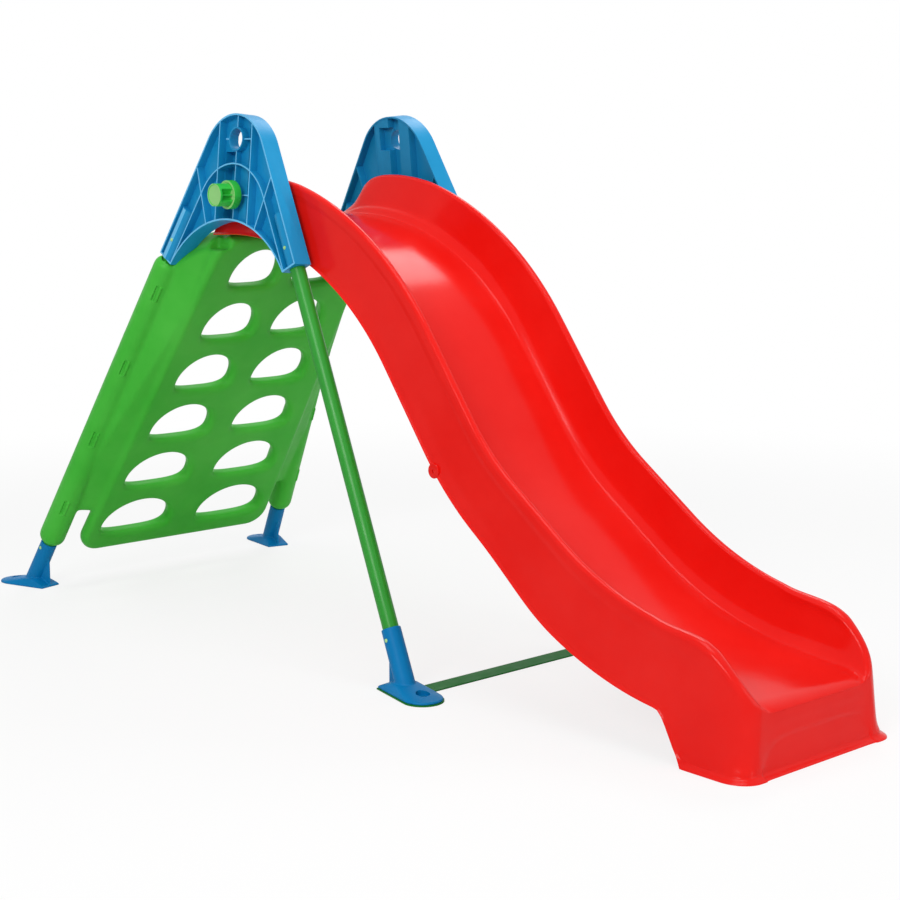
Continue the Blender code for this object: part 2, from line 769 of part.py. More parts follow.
def make_foot(end, name, side, material):
    """A moulded foot: a low domed base with an anchor hole, a sleeve for the tube and a gusset behind."""
    floor = foot_floor(end)
    lobe, tails, outwards = foot_outline(end, side, 0.0)
    foot, direction = leg_axis(end, side)
    crown = leg_point(end, side, floor + FOOT_CROWN)
    points = []
    for level in (floor, floor + FOOT_EDGE):
        points += circle_points(lobe, FOOT_LOBE_RADIUS, level)
        points += [Vector((*corner, level)) for corner in tails]
    points += circle_points(crown.xy, SLEEVE_RADIUS + FOOT_EDGE, floor + FOOT_CROWN)
    base = hull(f"{end}_foot_{name}", points)
    top = leg_point(end, side, floor + FOOT_SLEEVE_Z)
    sleeve = rod("sleeve", leg_point(end, side, floor + FOOT_SLEEVE_START), top, SLEEVE_RADIUS)
    low = leg_point(end, side, floor + FOOT_CROWN)
    high = leg_point(end, side, floor + GUSSET_HEIGHT)
    edge = foot.xy - outwards * GUSSET_OFFSET
    half = Vector((-outwards.y, outwards.x, 0)) * GUSSET_THICKNESS / 2
    corners = (low, high, Vector((*edge, high.z)), Vector((*edge, floor + FOOT_EDGE)))
    gusset = hull("gusset", [corner + shift for corner in corners for shift in (half, -half)])
    join(base, [sleeve, gusset])
    stop = leg_point(end, side, floor + FOOT_TUBE_STOP)
    bore = rod("bore", stop, top + direction * SLEEVE_RADIUS, BORE_RADIUS)
    anchor = rod("anchor hole", (*lobe, floor - FOOT_CROWN), (*lobe, floor + FOOT_CROWN * 2),
                 ANCHOR_HOLE_RADIUS, facets=16)
    cut(base, [bore, anchor, button_hole(end, side, floor + BUTTON_FOOT_Z)])
    return finish(base, f"{end}_foot_{name}", material, (foot.x, foot.y, floor))


def make_strap(material):
    """The flat bar on the floor that ties the front feet, with a plate under each foot."""
    level = Matrix.Translation((0, 0, STRAP_THICKNESS / 2))
    half = STRAP_WIDTH / 2
    ends = FRONT_FOOT_Y
    bar = [Vector(corner) for corner in (
        (FRONT_FOOT_X - half, -ends), (FRONT_FOOT_X + half, -ends),
        (FRONT_FOOT_X + half, ends), (FRONT_FOOT_X - half, ends))]
    strap = extruded("floor_strap", [bar], STRAP_THICKNESS, level)
    plates = []
    for name, side in SIDES:
        lobe, tails = foot_outline("front", side, STRAP_PLATE_MARGIN)[:2]
        points = [Vector((*corner, height)) for corner in tails for height in (0, STRAP_THICKNESS)]
        points += circle_points(lobe, FOOT_LOBE_RADIUS + STRAP_PLATE_MARGIN, 0)
        points += circle_points(lobe, FOOT_LOBE_RADIUS + STRAP_PLATE_MARGIN, STRAP_THICKNESS)
        plates.append(hull("end plate " + name, points))
    join(strap, plates)
    holes = []
    for name, side in SIDES:
        lobe = foot_outline("front", side, 0.0)[0]
        holes.append(rod("anchor hole " + name, (*lobe, -STRAP_THICKNESS), (*lobe, STRAP_THICKNESS * 2),
                         ANCHOR_HOLE_RADIUS, facets=16))
    cut(strap, holes)
    return finish(strap, "floor_strap", material, (FRONT_FOOT_X, 0, 0))


def leg_offset(end, across):
    """A corner of the bracket's cut foot, as x and z: square to the leg, positive away from the slide."""
    axis = leg_point(end, 1, BRACKET_CUT_Z)
    direction = leg_axis(end, 1)[1]
    along = Vector((direction.x, direction.z)).normalized()
    outwards = Vector((along.y, -along.x)) * (1 if end == "front" else -1)
    return Vector((axis.x, axis.z)) + outwards * across


def bracket_outline():
    """The bracket's edge in x and z, clockwise from the rear leg's outer corner."""
    rear_outer = leg_offset("rear", REAR_LEG_HALF)
    rear_inner = leg_offset("rear", -REAR_LEG_HALF)
    front_outer = leg_offset("front", FRONT_LEG_OUTER)
    front_inner = leg_offset("front", -FRONT_LEG_INNER)
    apex = (APEX_X, FRAME_HEIGHT + APEX_RISE, APEX_RADIUS)
    outer = filleted([(*rear_outer, 0), apex, (*front_outer, 0)], steps=6)
    soffit = arc_through(front_inner, (0, FRAME_HEIGHT - ARCH_DROP), rear_inner, 8)
    return outer + soffit


def bracket_piece(name, side, outlines, near, far):
    """A flat piece of the bracket, given in x and z, between two depths from its outer face."""
    stretch = 1 / math.cos(BRACKET_LEAN)
    placed = [[Vector((-side * point.x, (point.y - FRAME_HEIGHT) * stretch)) for point in outline]
              for outline in outlines]
    return extruded(name, placed, far - near, bracket_frame(side, (near + far) / 2))


def straight_rib(name, side, first, second, near, far):
    return bracket_piece(name, side, [band([Vector(first), Vector(second)], BRACKET_RIB)], near, far)


def box_outline(left, right, bottom, top):
    return [Vector(corner) for corner in ((left, bottom), (left, top), (right, top), (right, bottom))]


def make_bracket(name, side, material):
    """A deep-rimmed shoulder bracket: web, ribs, hand hole, knob hub and two tube sockets."""
    outline = bracket_outline()
    depth = BRACKET_DEPTH
    web_near = depth / 2 - BRACKET_WEB / 2
    rim = bracket_piece(f"bracket_{name}", side, [outline, inset(outline, BRACKET_RIM)], 0, depth)
    above = FRAME_HEIGHT + BRACKET_DEPTH
    arch_z = FRAME_HEIGHT - ARCH_DROP
    below = arch_z - BRACKET_DEPTH
    hand_z = FRAME_HEIGHT - HAND_HOLE_DROP
    web = bracket_piece("web", side, [inset(outline, BRACKET_RIM / 4)], web_near, web_near + BRACKET_WEB)
    shield = bracket_piece("shield", side, [inset(outline, BRACKET_RIM / 2)], -depth, depth * 2)
    rear_foot = leg_offset("rear", -REAR_LEG_HALF + BRACKET_RIB)
    front_foot = leg_offset("front", -FRONT_LEG_INNER + BRACKET_RIB)
    rib_apex = (RIB_APEX_X, FRAME_HEIGHT + RIB_APEX_RISE, RIB_ARCH_RADIUS)
    arch = filleted([(*rear_foot, 0), rib_apex, (*front_foot, 0)], steps=5)
    near = RIB_SHY
    far = depth - RIB_SHY
    middle = depth / 2
    recess = RECESS + near
    ribs = [
        bracket_piece("arch rib", side, [band(arch, BRACKET_RIB)], near * 2, middle),
        straight_rib("side rib rear", side, (-SIDE_RIB_X, below), (-SIDE_RIB_X, above), near, far),
        straight_rib("side rib front", side, (SIDE_RIB_X, below), (SIDE_RIB_X, above), near, far),
        straight_rib("middle rib", side, (0, below), (0, above), RECESS, middle),
        straight_rib("cross rib rear", side, CROSS_RIB_REAR[0], CROSS_RIB_REAR[1], near, far),
        straight_rib("cross rib front", side, CROSS_RIB_FRONT[0], CROSS_RIB_FRONT[1], near, far),
        straight_rib("hand hole rib", side, (-SIDE_RIB_X, hand_z), (SIDE_RIB_X, hand_z), recess, middle),
        straight_rib("hub rib", side, (-SIDE_RIB_X, PIVOT_Z), (SIDE_RIB_X, PIVOT_Z), recess, middle)]
    for left, right in COLUMN_SPANS:
        column = box_outline(left, right, below, above)
        ribs.append(bracket_piece("column", side, [column], middle, far - RIB_SHY))
    hand = bracket_frame(side) @ Vector((0, -HAND_HOLE_DROP / math.cos(BRACKET_LEAN), 0))
    out = bracket_frame(side).to_3x3() @ Vector((0, 0, 1))
    ring = rod("hand hole ring", hand - out * (RECESS - near), hand - out * far,
               HAND_HOLE_RADIUS + BRACKET_RIB, facets=16)
    join(web, ribs + [ring])
    combine(web, [shield], "INTERSECT")
    join(rim, [web])
    hub_in = Vector((PIVOT_X, side * (pad_outer_y() + HUB_GAP), PIVOT_Z))
    hub_out = Vector((PIVOT_X, side * knob_seat_y(), PIVOT_Z))
    hub = rod("hub", hub_in, hub_out, HUB_RADIUS, facets=14)
    sockets = []
    over = Vector((0, side * HUB_RADIUS, 0))
    stud_hole = rod("stud hole", hub_in - over, hub_out + over, STUD_BORE, facets=12)
    pockets = []
    holes = [stud_hole]
    for left, right in COLUMN_SPANS:
        pocket = box_outline(left + BRACKET_WEB, right - BRACKET_WEB,
                             arch_z + BRACKET_RIM, FRAME_HEIGHT - COLUMN_TOP_DROP)
        pockets.append(bracket_piece("column pocket", side, [pocket], -BRACKET_WEB, depth - BRACKET_WEB))
    holes.append(rod("hand hole", hand + out * depth, hand - out * depth * 2, HAND_HOLE_RADIUS, facets=16))
    for end in ("rear", "front"):
        direction = leg_axis(end, side)[1]
        mouth = leg_point(end, side, BRACKET_CUT_Z)
        top = leg_point(end, side, TUBE_TOP_Z)
        sockets.append(rod("socket", mouth, top + direction * SOCKET_WALL, SOCKET_RADIUS, facets=16))
        below_mouth = mouth - direction * SOCKET_RADIUS
        holes.append(rod("tube bore", below_mouth, top + direction * FIT_GAP, BORE_RADIUS))
        holes.append(button_hole(end, side, FRAME_HEIGHT - BUTTON_BRACKET_DROP))
    cut(rim, pockets)
    join(rim, [hub] + sockets)
    cut(rim, holes)
    return finish(rim, f"bracket_{name}", material, (PIVOT_X, side * bracket_outer_y(PIVOT_Z), PIVOT_Z))


def knob_seat_y():
    """Where the knob's base bears on the bracket's hub."""
    return bracket_outer_y(PIVOT_Z) - HUB_SINK


def make_knob(name, side, material):
    """A screw knob: a cup-shaped base, a hollow finger grip with a cross rib, and the threaded stud."""
    seat = knob_seat_y() + FIT_GAP
    origin = Vector((PIVOT_X, side * seat, PIVOT_Z))
    outwards = Vector((0, side, 0))
    place = frame_along(origin, outwards, (1, 0, 0))
    stud_length = seat - (pad_inner_y() - NUT_THICKNESS - KNOB_WALL)
    base_in = KNOB_BASE_RADIUS - KNOB_WALL
    grip_in = KNOB_GRIP_RADIUS - KNOB_WALL
    grip = [(0, KNOB_WALL), (grip_in, KNOB_WALL), (grip_in, KNOB_GRIP_LENGTH),
            (KNOB_GRIP_RADIUS, KNOB_GRIP_LENGTH), (KNOB_GRIP_RADIUS, KNOB_WALL)]
    base = [(base_in, KNOB_WALL), (base_in, KNOB_BASE_DEPTH), (KNOB_BASE_RADIUS, KNOB_BASE_DEPTH),
            (KNOB_BASE_RADIUS, 0)]
    stud = [(STUD_RADIUS, 0), (STUD_RADIUS, -stud_length), (0, -stud_length)]
    profile = grip + base + stud
    knob = turned(f"knob_{name}", profile, place, steps=18)
    half = KNOB_GRIP_LENGTH - KNOB_WALL
    rib = block("knob rib", (grip_in * 2 + KNOB_WALL, KNOB_RIB, half - KNOB_WALL),
                place @ Matrix.Translation((0, 0, KNOB_WALL / 2 + half / 2)))
    join(knob, [rib])
    notches = []
    for turn in KNOB_NOTCH_TURNS:
        offset = Matrix.Translation((KNOB_NOTCH_OFFSET, 0, 0))
        spot = Matrix.Rotation(math.radians(turn), 4, "Z") @ offset
        low = place @ spot @ Vector((0, 0, KNOB_BASE_DEPTH + KNOB_WALL))
        high = place @ spot @ Vector((0, 0, KNOB_GRIP_LENGTH + KNOB_WALL))
        notches.append(rod("knob notch", low, high, KNOB_NOTCH_RADIUS, facets=14))
    cut(knob, notches)
    return finish(knob, f"knob_{name}", material, origin)


def make_nut(name, side, material):
    """The nut that the knob's stud screws into, inside the chute's rim."""
    outer = Vector((PIVOT_X, side * (pad_inner_y() - FIT_GAP), PIVOT_Z))
    inner = outer - Vector((0, side * NUT_THICKNESS, 0))
    nut = rod(f"knob_nut_{name}", inner, outer, NUT_RADIUS, facets=6)
    reach = Vector((0, side * NUT_THICKNESS, 0))
    cut(nut, [rod("nut bore", inner - reach, outer + reach, STUD_BORE, facets=12)])
    return finish(nut, f"knob_nut_{name}", material, outer)


def flange_seat():
    """How far from the tube's axis a button's flange meets the tube's inside."""
    return math.sqrt(TUBE_INNER_FLAT ** 2 - BUTTON_FLANGE_RADIUS ** 2) - FIT_GAP


def make_button(end, place_name, name, side, height, sleeve, material):
    """A domed snap button whose flange sits inside the tube."""
    centre = leg_point(end, side, height)
    out = button_direction(end, side)
    flange_top = flange_seat()
    tip = sleeve + BUTTON_PROUD
    eighth = math.pi / 4
    profile = [(0, tip), (BUTTON_RADIUS * math.sin(eighth), tip - BUTTON_DOME * (1 - math.cos(eighth))),
               (BUTTON_RADIUS, tip - BUTTON_DOME)]
    profile += [(BUTTON_RADIUS, flange_top), (BUTTON_FLANGE_RADIUS, flange_top),
                (BUTTON_FLANGE_RADIUS, flange_top - BUTTON_FLANGE), (0, flange_top - BUTTON_FLANGE)]
    node = f"{end}_{place_name}_button_{name}"
    button = turned(node, profile, frame_along(centre, out, leg_axis(end, side)[1]), steps=8)
    return finish(button, node, material, centre + out * flange_top)


def make_spring(end, place_name, name, side, height, towards, material):
    """The bent strip inside the tube that pushes a snap button out."""
    centre = leg_point(end, side, height)
    out = button_direction(end, side)
    along = leg_axis(end, side)[1] * towards
    high = flange_seat() - BUTTON_FLANGE - FIT_GAP - SPRING_STRIP / 2
    low = FIT_GAP + SPRING_STRIP / 2 - math.sqrt(TUBE_INNER_FLAT ** 2 - (SPRING_WIDTH / 2) ** 2)
    tail = SPRING_WIDTH
    line = filleted([(high, -tail, 0), (high, 0, 0), ((high + low) / 2, SPRING_LENGTH, SPRING_BEND),
                     (low, 0, 0), (low, -tail, 0)], steps=4)
    side_axis = out.cross(along)
    rotation = Matrix((out, along, side_axis)).transposed().to_4x4()
    node = f"{end}_{place_name}_spring_{name}"
    spring = extruded(node, [band(line, SPRING_STRIP)], SPRING_WIDTH, Matrix.Translation(centre) @ rotation)
    return finish(spring, node, material, centre)


def plate_matrix():
    """The climbing plate's middle plane: X across, Y up the plate and Z towards the chute."""
    top = Vector((PLATE_TOP_X, 0, FRAME_HEIGHT - PLATE_TOP_DROP))
    foot = Vector((PLATE_FOOT_X, 0, 0))
    up = (top - foot).normalized()
    across = Vector((0, 1, 0))
    rotation = Matrix((across, up, across.cross(up))).transposed().to_4x4()
    return Matrix.Translation(foot) @ rotation, (top - foot).length


def plate_half_width(distance, length):
    share = (distance - PLATE_BOTTOM) / (length - PLATE_BOTTOM)
    return PLATE_BOTTOM_HALF + (PLATE_TOP_HALF - PLATE_BOTTOM_HALF) * share


def foot_hole(side, inner, outer, sill):
    """A D-shaped opening: a flat sill with round lower corners under an elliptical top."""
    half = (outer - inner) / 2
    centre = side * (inner + outer) / 2
    points = []
    for step in range(HOLE_POINTS):
        turn = math.tau * step / HOLE_POINTS
        c = math.cos(turn)
        s = math.sin(turn)
        if s >= 0:
            points.append(Vector((centre + half * c, sill + HOLE_CORNER + (HOLE_HEIGHT - HOLE_CORNER) * s)))
        else:
            flat = math.copysign(abs(c) ** HOLE_FLATNESS, c)
            points.append(Vector((centre + half * flat, sill + HOLE_CORNER * (1 - abs(s) ** HOLE_FLATNESS))))
    return points


def plate_outlines(length):
    """The plate's edge and its rows of foot holes."""
    edge = filleted([
        (-PLATE_BOTTOM_HALF, PLATE_BOTTOM, PLATE_BOTTOM_CORNER), (-PLATE_TOP_HALF, length, PLATE_TOP_CORNER),
        (PLATE_TOP_HALF, length, PLATE_TOP_CORNER), (PLATE_BOTTOM_HALF, PLATE_BOTTOM, PLATE_BOTTOM_CORNER)],
        steps=6, closed=True)
    outlines = [edge]
    first = PLATE_BOTTOM + FIRST_SILL
    last = length - LAST_SILL
    for row in range(HOLE_ROWS):
        share = row / (HOLE_ROWS - 1)
        sill = first + (last - first) * share
        inner = HOLE_INNER[0] + (HOLE_INNER[1] - HOLE_INNER[0]) * share
        outer = HOLE_OUTER[0] + (HOLE_OUTER[1] - HOLE_OUTER[0]) * share
        for name, side in SIDES:
            outlines.append(foot_hole(side, inner, outer, sill))
    return outlines


def make_panel(material):
    """The climbing panel: a plate with foot holes, joined by side webs to a rail round each rear tube."""
    plane, length = plate_matrix()
    panel = extruded("climbing_panel", plate_outlines(length), PLATE_THICKNESS, plane, rounding=PLATE_ROUND)
    inset_half = PLATE_THICKNESS / 2
    tools = []
    bores = []
    for name, side in SIDES:
        direction = leg_axis("rear", side)[1]
        low = leg_point("rear", side, FOOT_SLEEVE_Z) + direction * RAIL_GAP
        high = leg_point("rear", side, BRACKET_CUT_Z) - direction * RAIL_GAP
        tools.append(make_rail("rail " + name, low, high))
        corners = []
        for distance in (PLATE_BOTTOM + WEB_BOTTOM, length - WEB_TOP):
            half = plate_half_width(distance, length) - inset_half
            edge = plane @ Vector((side * half, distance, 0))
            corners += ball_points(edge, inset_half)
            corners += ball_points(leg_point("rear", side, min(edge.z, high.z - RAIL_RADIUS)), WEB_RADIUS)
        tools.append(hull("side web " + name, corners))
        past = direction * RAIL_RADIUS
        bores.append(rod("tube bore", low - past, high + past, BORE_RADIUS))
        bores += clip_slots(side, low, high, plane)
    roll_z = FRAME_HEIGHT - TOP_ROLL_DROP
    roll = []
    for side in (-1, 1):
        roll += ball_points((TOP_ROLL_X, side * TOP_ROLL_HALF, roll_z), TOP_ROLL_RADIUS)
        start = plane @ Vector((side * (TOP_ROLL_HALF - PLATE_THICKNESS), length - TOP_ROLL_BASE, 0))
        roll += ball_points(start, inset_half - FIT_GAP)
    tools.append(hull("top roll", roll))
    join(panel, tools)
    cut(panel, bores)
    return finish(panel, "climbing_panel", material, plane.translation, smooth_angle=50)


def make_rail(name, low, high):
    """A rail with rounded ends, as long as the tube shows between foot and bracket."""
    length = (high - low).length
    profile = [(0, length)]
    for step in range(3):
        turn = math.pi / 4 * step
        profile.append((RAIL_RADIUS - RAIL_ROUND + RAIL_ROUND * math.sin(turn),
                        length - RAIL_ROUND + RAIL_ROUND * math.cos(turn)))
    profile += [(radius, length - height) for radius, height in reversed(profile[1:])]
    profile.append((0, 0))
    return turned(name, profile, frame_along(low, high - low))


def clip_slots(side, low, high, plane):
    """Shallow slots along the rail's inner face, where the panel's two skins clip together."""
    inwards = plane.to_3x3() @ Vector((0, 0, 1))
    slots = []
    for index in range(CLIP_COUNT):
        share = CLIP_START + index / CLIP_COUNT
        centre = low + (high - low) * share + inwards * RAIL_RADIUS
        slots.append(block("clip slot", (CLIP_SLOT[1], CLIP_SLOT[2], CLIP_SLOT[0]),
                           frame_along(centre, high - low, (0, 1, 0))))
    return slots


def build():
    red = principled("chute red", (0.78, 0.005, 0.010), 0.22)
    green = principled("panel green", (0.055, 0.40, 0.040), 0.45)
    tube_green = principled("tube green", (0.040, 0.36, 0.035), 0.35)
    blue = principled("bracket blue", (0.004, 0.175, 0.52), 0.38)
    knob_green = principled("knob green", (0.075, 0.50, 0.065), 0.40)
    steel = principled("spring steel", (0.55, 0.56, 0.55), 0.35, 1.0)
    button_green = principled("button green", (0.30, 0.62, 0.25), 0.30)
    make_chute(red)
    make_panel(green)
    make_strap(tube_green)
    for name, side in SIDES:
        make_bracket(name, side, blue)
        make_knob(name, side, knob_green)
        make_nut(name, side, steel)
        for end in ("front", "rear"):
            make_leg(end, name, side, tube_green)
            make_foot(end, name, side, blue)
            foot_height, bracket_height = button_heights(end)
            make_button(end, "foot", name, side, foot_height, SLEEVE_RADIUS, button_green)
            make_spring(end, "foot", name, side, foot_height, 1, steel)
            make_button(end, "bracket", name, side, bracket_height, SOCKET_RADIUS, button_green)
            make_spring(end, "bracket", name, side, bracket_height, -1, steel)


clear_scene()
PIECES = new_collection("climber slide")
CUTTERS = new_collection("cutters")
CUTTERS.hide_render = True
build()
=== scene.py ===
"""Looks of the climber slide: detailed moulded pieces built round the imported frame.

Everything is in metres in the row's frame, with the floor at Z = 0 and the origin in the middle of
the floor strap. Shapes are worked out with X measured from the brackets' middle, and each finished
mesh is moved along X by the distance to the front feet.
"""

import math

import bmesh
import bpy
from mathutils import Matrix, Vector


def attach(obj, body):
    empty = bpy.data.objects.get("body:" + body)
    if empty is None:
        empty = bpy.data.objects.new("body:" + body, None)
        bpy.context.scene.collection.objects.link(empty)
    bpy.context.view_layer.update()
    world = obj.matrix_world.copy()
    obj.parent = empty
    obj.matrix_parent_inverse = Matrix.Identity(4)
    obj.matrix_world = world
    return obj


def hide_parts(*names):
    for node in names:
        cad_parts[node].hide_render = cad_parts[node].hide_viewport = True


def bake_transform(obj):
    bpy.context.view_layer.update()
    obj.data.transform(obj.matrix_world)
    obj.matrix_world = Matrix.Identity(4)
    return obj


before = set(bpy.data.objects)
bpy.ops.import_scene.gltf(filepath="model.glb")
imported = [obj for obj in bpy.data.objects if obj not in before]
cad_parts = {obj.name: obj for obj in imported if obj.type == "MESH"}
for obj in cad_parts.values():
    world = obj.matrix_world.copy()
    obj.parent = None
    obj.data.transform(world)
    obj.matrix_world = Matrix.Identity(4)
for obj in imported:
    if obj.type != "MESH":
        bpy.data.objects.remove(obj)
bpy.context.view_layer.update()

# Sizes of the frame that the pieces are built on
HEIGHT = 1.200
FRONT_FOOT_X = 0.646
FRONT_FOOT_Y = 0.299
REAR_FOOT_X = -0.764
REAR_FOOT_Y = 0.383
FRONT_SHOULDER_X = 0.1735
REAR_SHOULDER_X = -0.196
SHOULDER_Z = 0.970
TUBE_R = 0.0175
TUBE_WALL = 0.0015
BORE_R = 0.0178
ANCHOR_R = 0.010
TUBE_TOP_Z = 0.978
LEAN = math.atan(0.09)
DEPTH = 0.044
SKIRT_Y = 0.220
SKIRT_EDGE_Z = 0.918
APEX_Y = SKIRT_Y + 0.010 + DEPTH - 0.09 * (HEIGHT - SKIRT_EDGE_Z)
CUT_Z = HEIGHT - 0.335
PIVOT_Z = 1.020
STRAP_TOP = 0.0033
SLEEVE_R = 0.0210
SOCKET_R = 0.0208
BUTTON_R = 0.0043
BUTTON_HOLE_R = 0.0046
BUTTON_PROUD = 0.0022
BUTTON_FLANGE_TOP = 0.0139
BUTTON_FLANGE = 0.0016
FOOT_BUTTON_Z = 0.104
BRACKET_BUTTON_DROP = 0.292
KNOB_RECESS = 0.004
SIDES = (("right", -1), ("left", 1))
SHIFT = Matrix.Translation((-FRONT_FOOT_X, 0, 0))


# ---- shape helpers

def new_object(name, bm):
    bmesh.ops.recalc_face_normals(bm, faces=bm.faces)
    mesh = bpy.data.meshes.new(name)
    bm.to_mesh(mesh)
    bm.free()
    obj = bpy.data.objects.new(name, mesh)
    bpy.context.scene.collection.objects.link(obj)
    return obj


def bake(obj):
    """Give the object its evaluated mesh in place of its modifiers."""
    graph = bpy.context.evaluated_depsgraph_get()
    mesh = bpy.data.meshes.new_from_object(obj.evaluated_get(graph))
    obj.modifiers.clear()
    bm = bmesh.new()
    bm.from_mesh(mesh)
    bmesh.ops.remove_doubles(bm, verts=bm.verts, dist=0.000002)
    bmesh.ops.dissolve_degenerate(bm, edges=bm.edges, dist=0.000002)
    bmesh.ops.recalc_face_normals(bm, faces=bm.faces)
    bm.to_mesh(mesh)
    bm.free()
    obj.data = mesh
    return obj


def combine(target, tools, operation):
    """Join the tools to the target, or cut them from it, and remove the tools."""
    for tool in tools:
        modifier = target.modifiers.new(tool.name, "BOOLEAN")
        modifier.operation = operation
        modifier.solver = "EXACT"
        modifier.object = tool
    bake(target)
    for tool in tools:
        bpy.data.objects.remove(tool, do_unlink=True)
    return target


def merge(target, others):
    """Put the others' faces into the target's mesh as they are."""
    bm = bmesh.new()
    for obj in [target] + others:
        mesh = obj.data.copy()
        mesh.transform(obj.matrix_world)
        bm.from_mesh(mesh)
        bpy.data.meshes.remove(mesh)
    bm.to_mesh(target.data)
    bm.free()
    target.matrix_world = Matrix.Identity(4)
    for obj in others:
        bpy.data.objects.remove(obj, do_unlink=True)
    return target


def melt(obj, voxel, smooth_steps, local=Matrix.Identity(4)):
    """Fuse overlapping bodies into one skin with soft moulded fillets, worked in a local frame."""
    obj.data.transform(local.inverted() @ obj.matrix_world)
    obj.matrix_world = Matrix.Identity(4)
    remesh = obj.modifiers.new("melt", "REMESH")
    remesh.mode = "VOXEL"
    remesh.voxel_size = voxel
    soften = obj.modifiers.new("soften", "SMOOTH")
    soften.factor = 0.5
    soften.iterations = smooth_steps
    bake(obj)
    obj.data.transform(local)
    return obj


def chamfer(obj, width, segments=2, angle=35):
    bevel = obj.modifiers.new("edges", "BEVEL")
    bevel.width = width
    bevel.segments = segments
    bevel.limit_method = "ANGLE"
    bevel.angle_limit = math.radians(angle)
    bevel.use_clamp_overlap = True
    return bake(obj)


def piece(obj, name, body, material, nodes, smooth_angle=35):
    """Name a finished piece, move it into the row's frame, and fix it to its body, if it has just one."""
    obj.name = name
    obj.data.name = name
    obj.data.transform(SHIFT @ obj.matrix_world)
    obj.matrix_world = Matrix.Identity(4)
    obj.data.materials.clear()
    obj.data.materials.append(material)
    obj.data.shade_smooth()
    obj.data.set_sharp_from_angle(angle=math.radians(smooth_angle))
    if body:
        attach(obj, body)
    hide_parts(*nodes)
    return obj


def painted_highlight_faces(obj, material, plane, chosen):
    """Give a paler material, which paints a highlight, to faces picked by their place and normal in a local frame."""
    obj.data.materials.append(material)
    back = plane.inverted()
    turn = back.to_3x3()
    for face in obj.data.polygons:
        if chosen(back @ face.center, turn @ face.normal):
            face.material_index = 1
    return obj


def frame_along(origin, direction, side_hint=(0, 1, 0)):
    """A matrix whose Z runs along the direction and whose X leans towards the hint."""
    z_axis = Vector(direction).normalized()
    x_axis = Vector(side_hint)
    if x_axis.cross(z_axis).length < 0.1:
        x_axis = Vector((1, 0, 0))
    x_axis = (x_axis - z_axis * x_axis.dot(z_axis)).normalized()
    y_axis = z_axis.cross(x_axis)
    rotation = Matrix((x_axis, y_axis, z_axis)).transposed().to_4x4()
    return Matrix.Translation(Vector(origin)) @ rotation


def rod(name, start, end, radius, end_radius=None, facets=64):
    start = Vector(start)
    end = Vector(end)
    bm = bmesh.new()
    bmesh.ops.create_cone(
        bm, cap_ends=True, segments=facets, depth=(end - start).length,
        radius1=radius, radius2=radius if end_radius is None else end_radius,
        matrix=frame_along((start + end) / 2, end - start))
    return new_object(name, bm)


def block(name, size, matrix):
    bm = bmesh.new()
    bmesh.ops.create_cube(bm, size=1.0, matrix=matrix @ Matrix.Diagonal((*size, 1.0)))
    return new_object(name, bm)


def turned(name, profile, matrix, steps=64, closed=False):
    """A profile of radius and height turned round the matrix's Z axis."""
    bm = bmesh.new()
    count = len(profile)
    rings = []
    for radius, height in profile:
        if radius == 0:
            rings.append([bm.verts.new((0, 0, height))])
            continue
        rings.append([bm.verts.new((radius * math.cos(math.tau * i / steps),
                                    radius * math.sin(math.tau * i / steps), height)) for i in range(steps)])
    pairs = [(i, i + 1) for i in range(count - 1)]
    if closed:
        pairs.append((count - 1, 0))
    for a, b in pairs:
        for i in range(steps):
            j = (i + 1) % steps
            ring = [rings[a][i % len(rings[a])], rings[a][j % len(rings[a])],
                    rings[b][j % len(rings[b])], rings[b][i % len(rings[b])]]
            corners = [v for k, v in enumerate(ring) if v not in ring[:k]]
            if len(corners) > 2:
                bm.faces.new(corners)
    obj = new_object(name, bm)
    obj.data.transform(matrix)
    return obj


def rounded_profile(corners, radius, steps=4):
    """A turned profile of radius and height whose inner corners are rounded."""
    return [tuple(point) for point in filleted([(u, v, radius) for u, v in corners], steps)]


def extruded(name, outlines, depth, matrix, rounding=0.0, round_steps=3):
    """Flat outlines, the later ones as holes, given a depth centred on the matrix's XY plane."""
    curve = bpy.data.curves.new(name, "CURVE")
    curve.dimensions = "2D"
    curve.fill_mode = "BOTH"
    curve.extrude = depth / 2 - rounding
    curve.bevel_depth = rounding
    curve.bevel_resolution = round_steps
    curve.offset = -rounding
    for outline in outlines:
        spline = curve.splines.new("POLY")
        spline.points.add(len(outline) - 1)
        for point, (u, v) in zip(spline.points, outline):
            point.co = (u, v, 0, 1)
        spline.use_cyclic_u = True
    guide = bpy.data.objects.new(name, curve)
    bpy.context.scene.collection.objects.link(guide)
    graph = bpy.context.evaluated_depsgraph_get()
    mesh = bpy.data.meshes.new_from_object(guide.evaluated_get(graph))
    mesh.transform(matrix)
    bpy.data.objects.remove(guide, do_unlink=True)
    bm = bmesh.new()
    bm.from_mesh(mesh)
    bpy.data.meshes.remove(mesh)
    bmesh.ops.remove_doubles(bm, verts=bm.verts, dist=0.000005)
    return new_object(name, bm)


def hull(name, points):
    bm = bmesh.new()
    for point in points:
        bm.verts.new(point)
    result = bmesh.ops.convex_hull(bm, input=bm.verts)
    spare = {item for key in ("geom_interior", "geom_unused") for item in result[key]
             if isinstance(item, bmesh.types.BMVert)}
    bmesh.ops.delete(bm, geom=list(spare), context="VERTS")
    return new_object(name, bm)


def ball_points(centre, radius, rings=10, facets=20):
    points = []
    for ring in range(rings + 1):
        polar = math.pi * ring / rings
        for step in range(facets if 0 < ring < rings else 1):
            turn = math.tau * step / facets
            round_z = math.sin(polar)
            offset = Vector((round_z * math.cos(turn), round_z * math.sin(turn), math.cos(polar)))
            points.append(Vector(centre) + offset * radius)
    return points


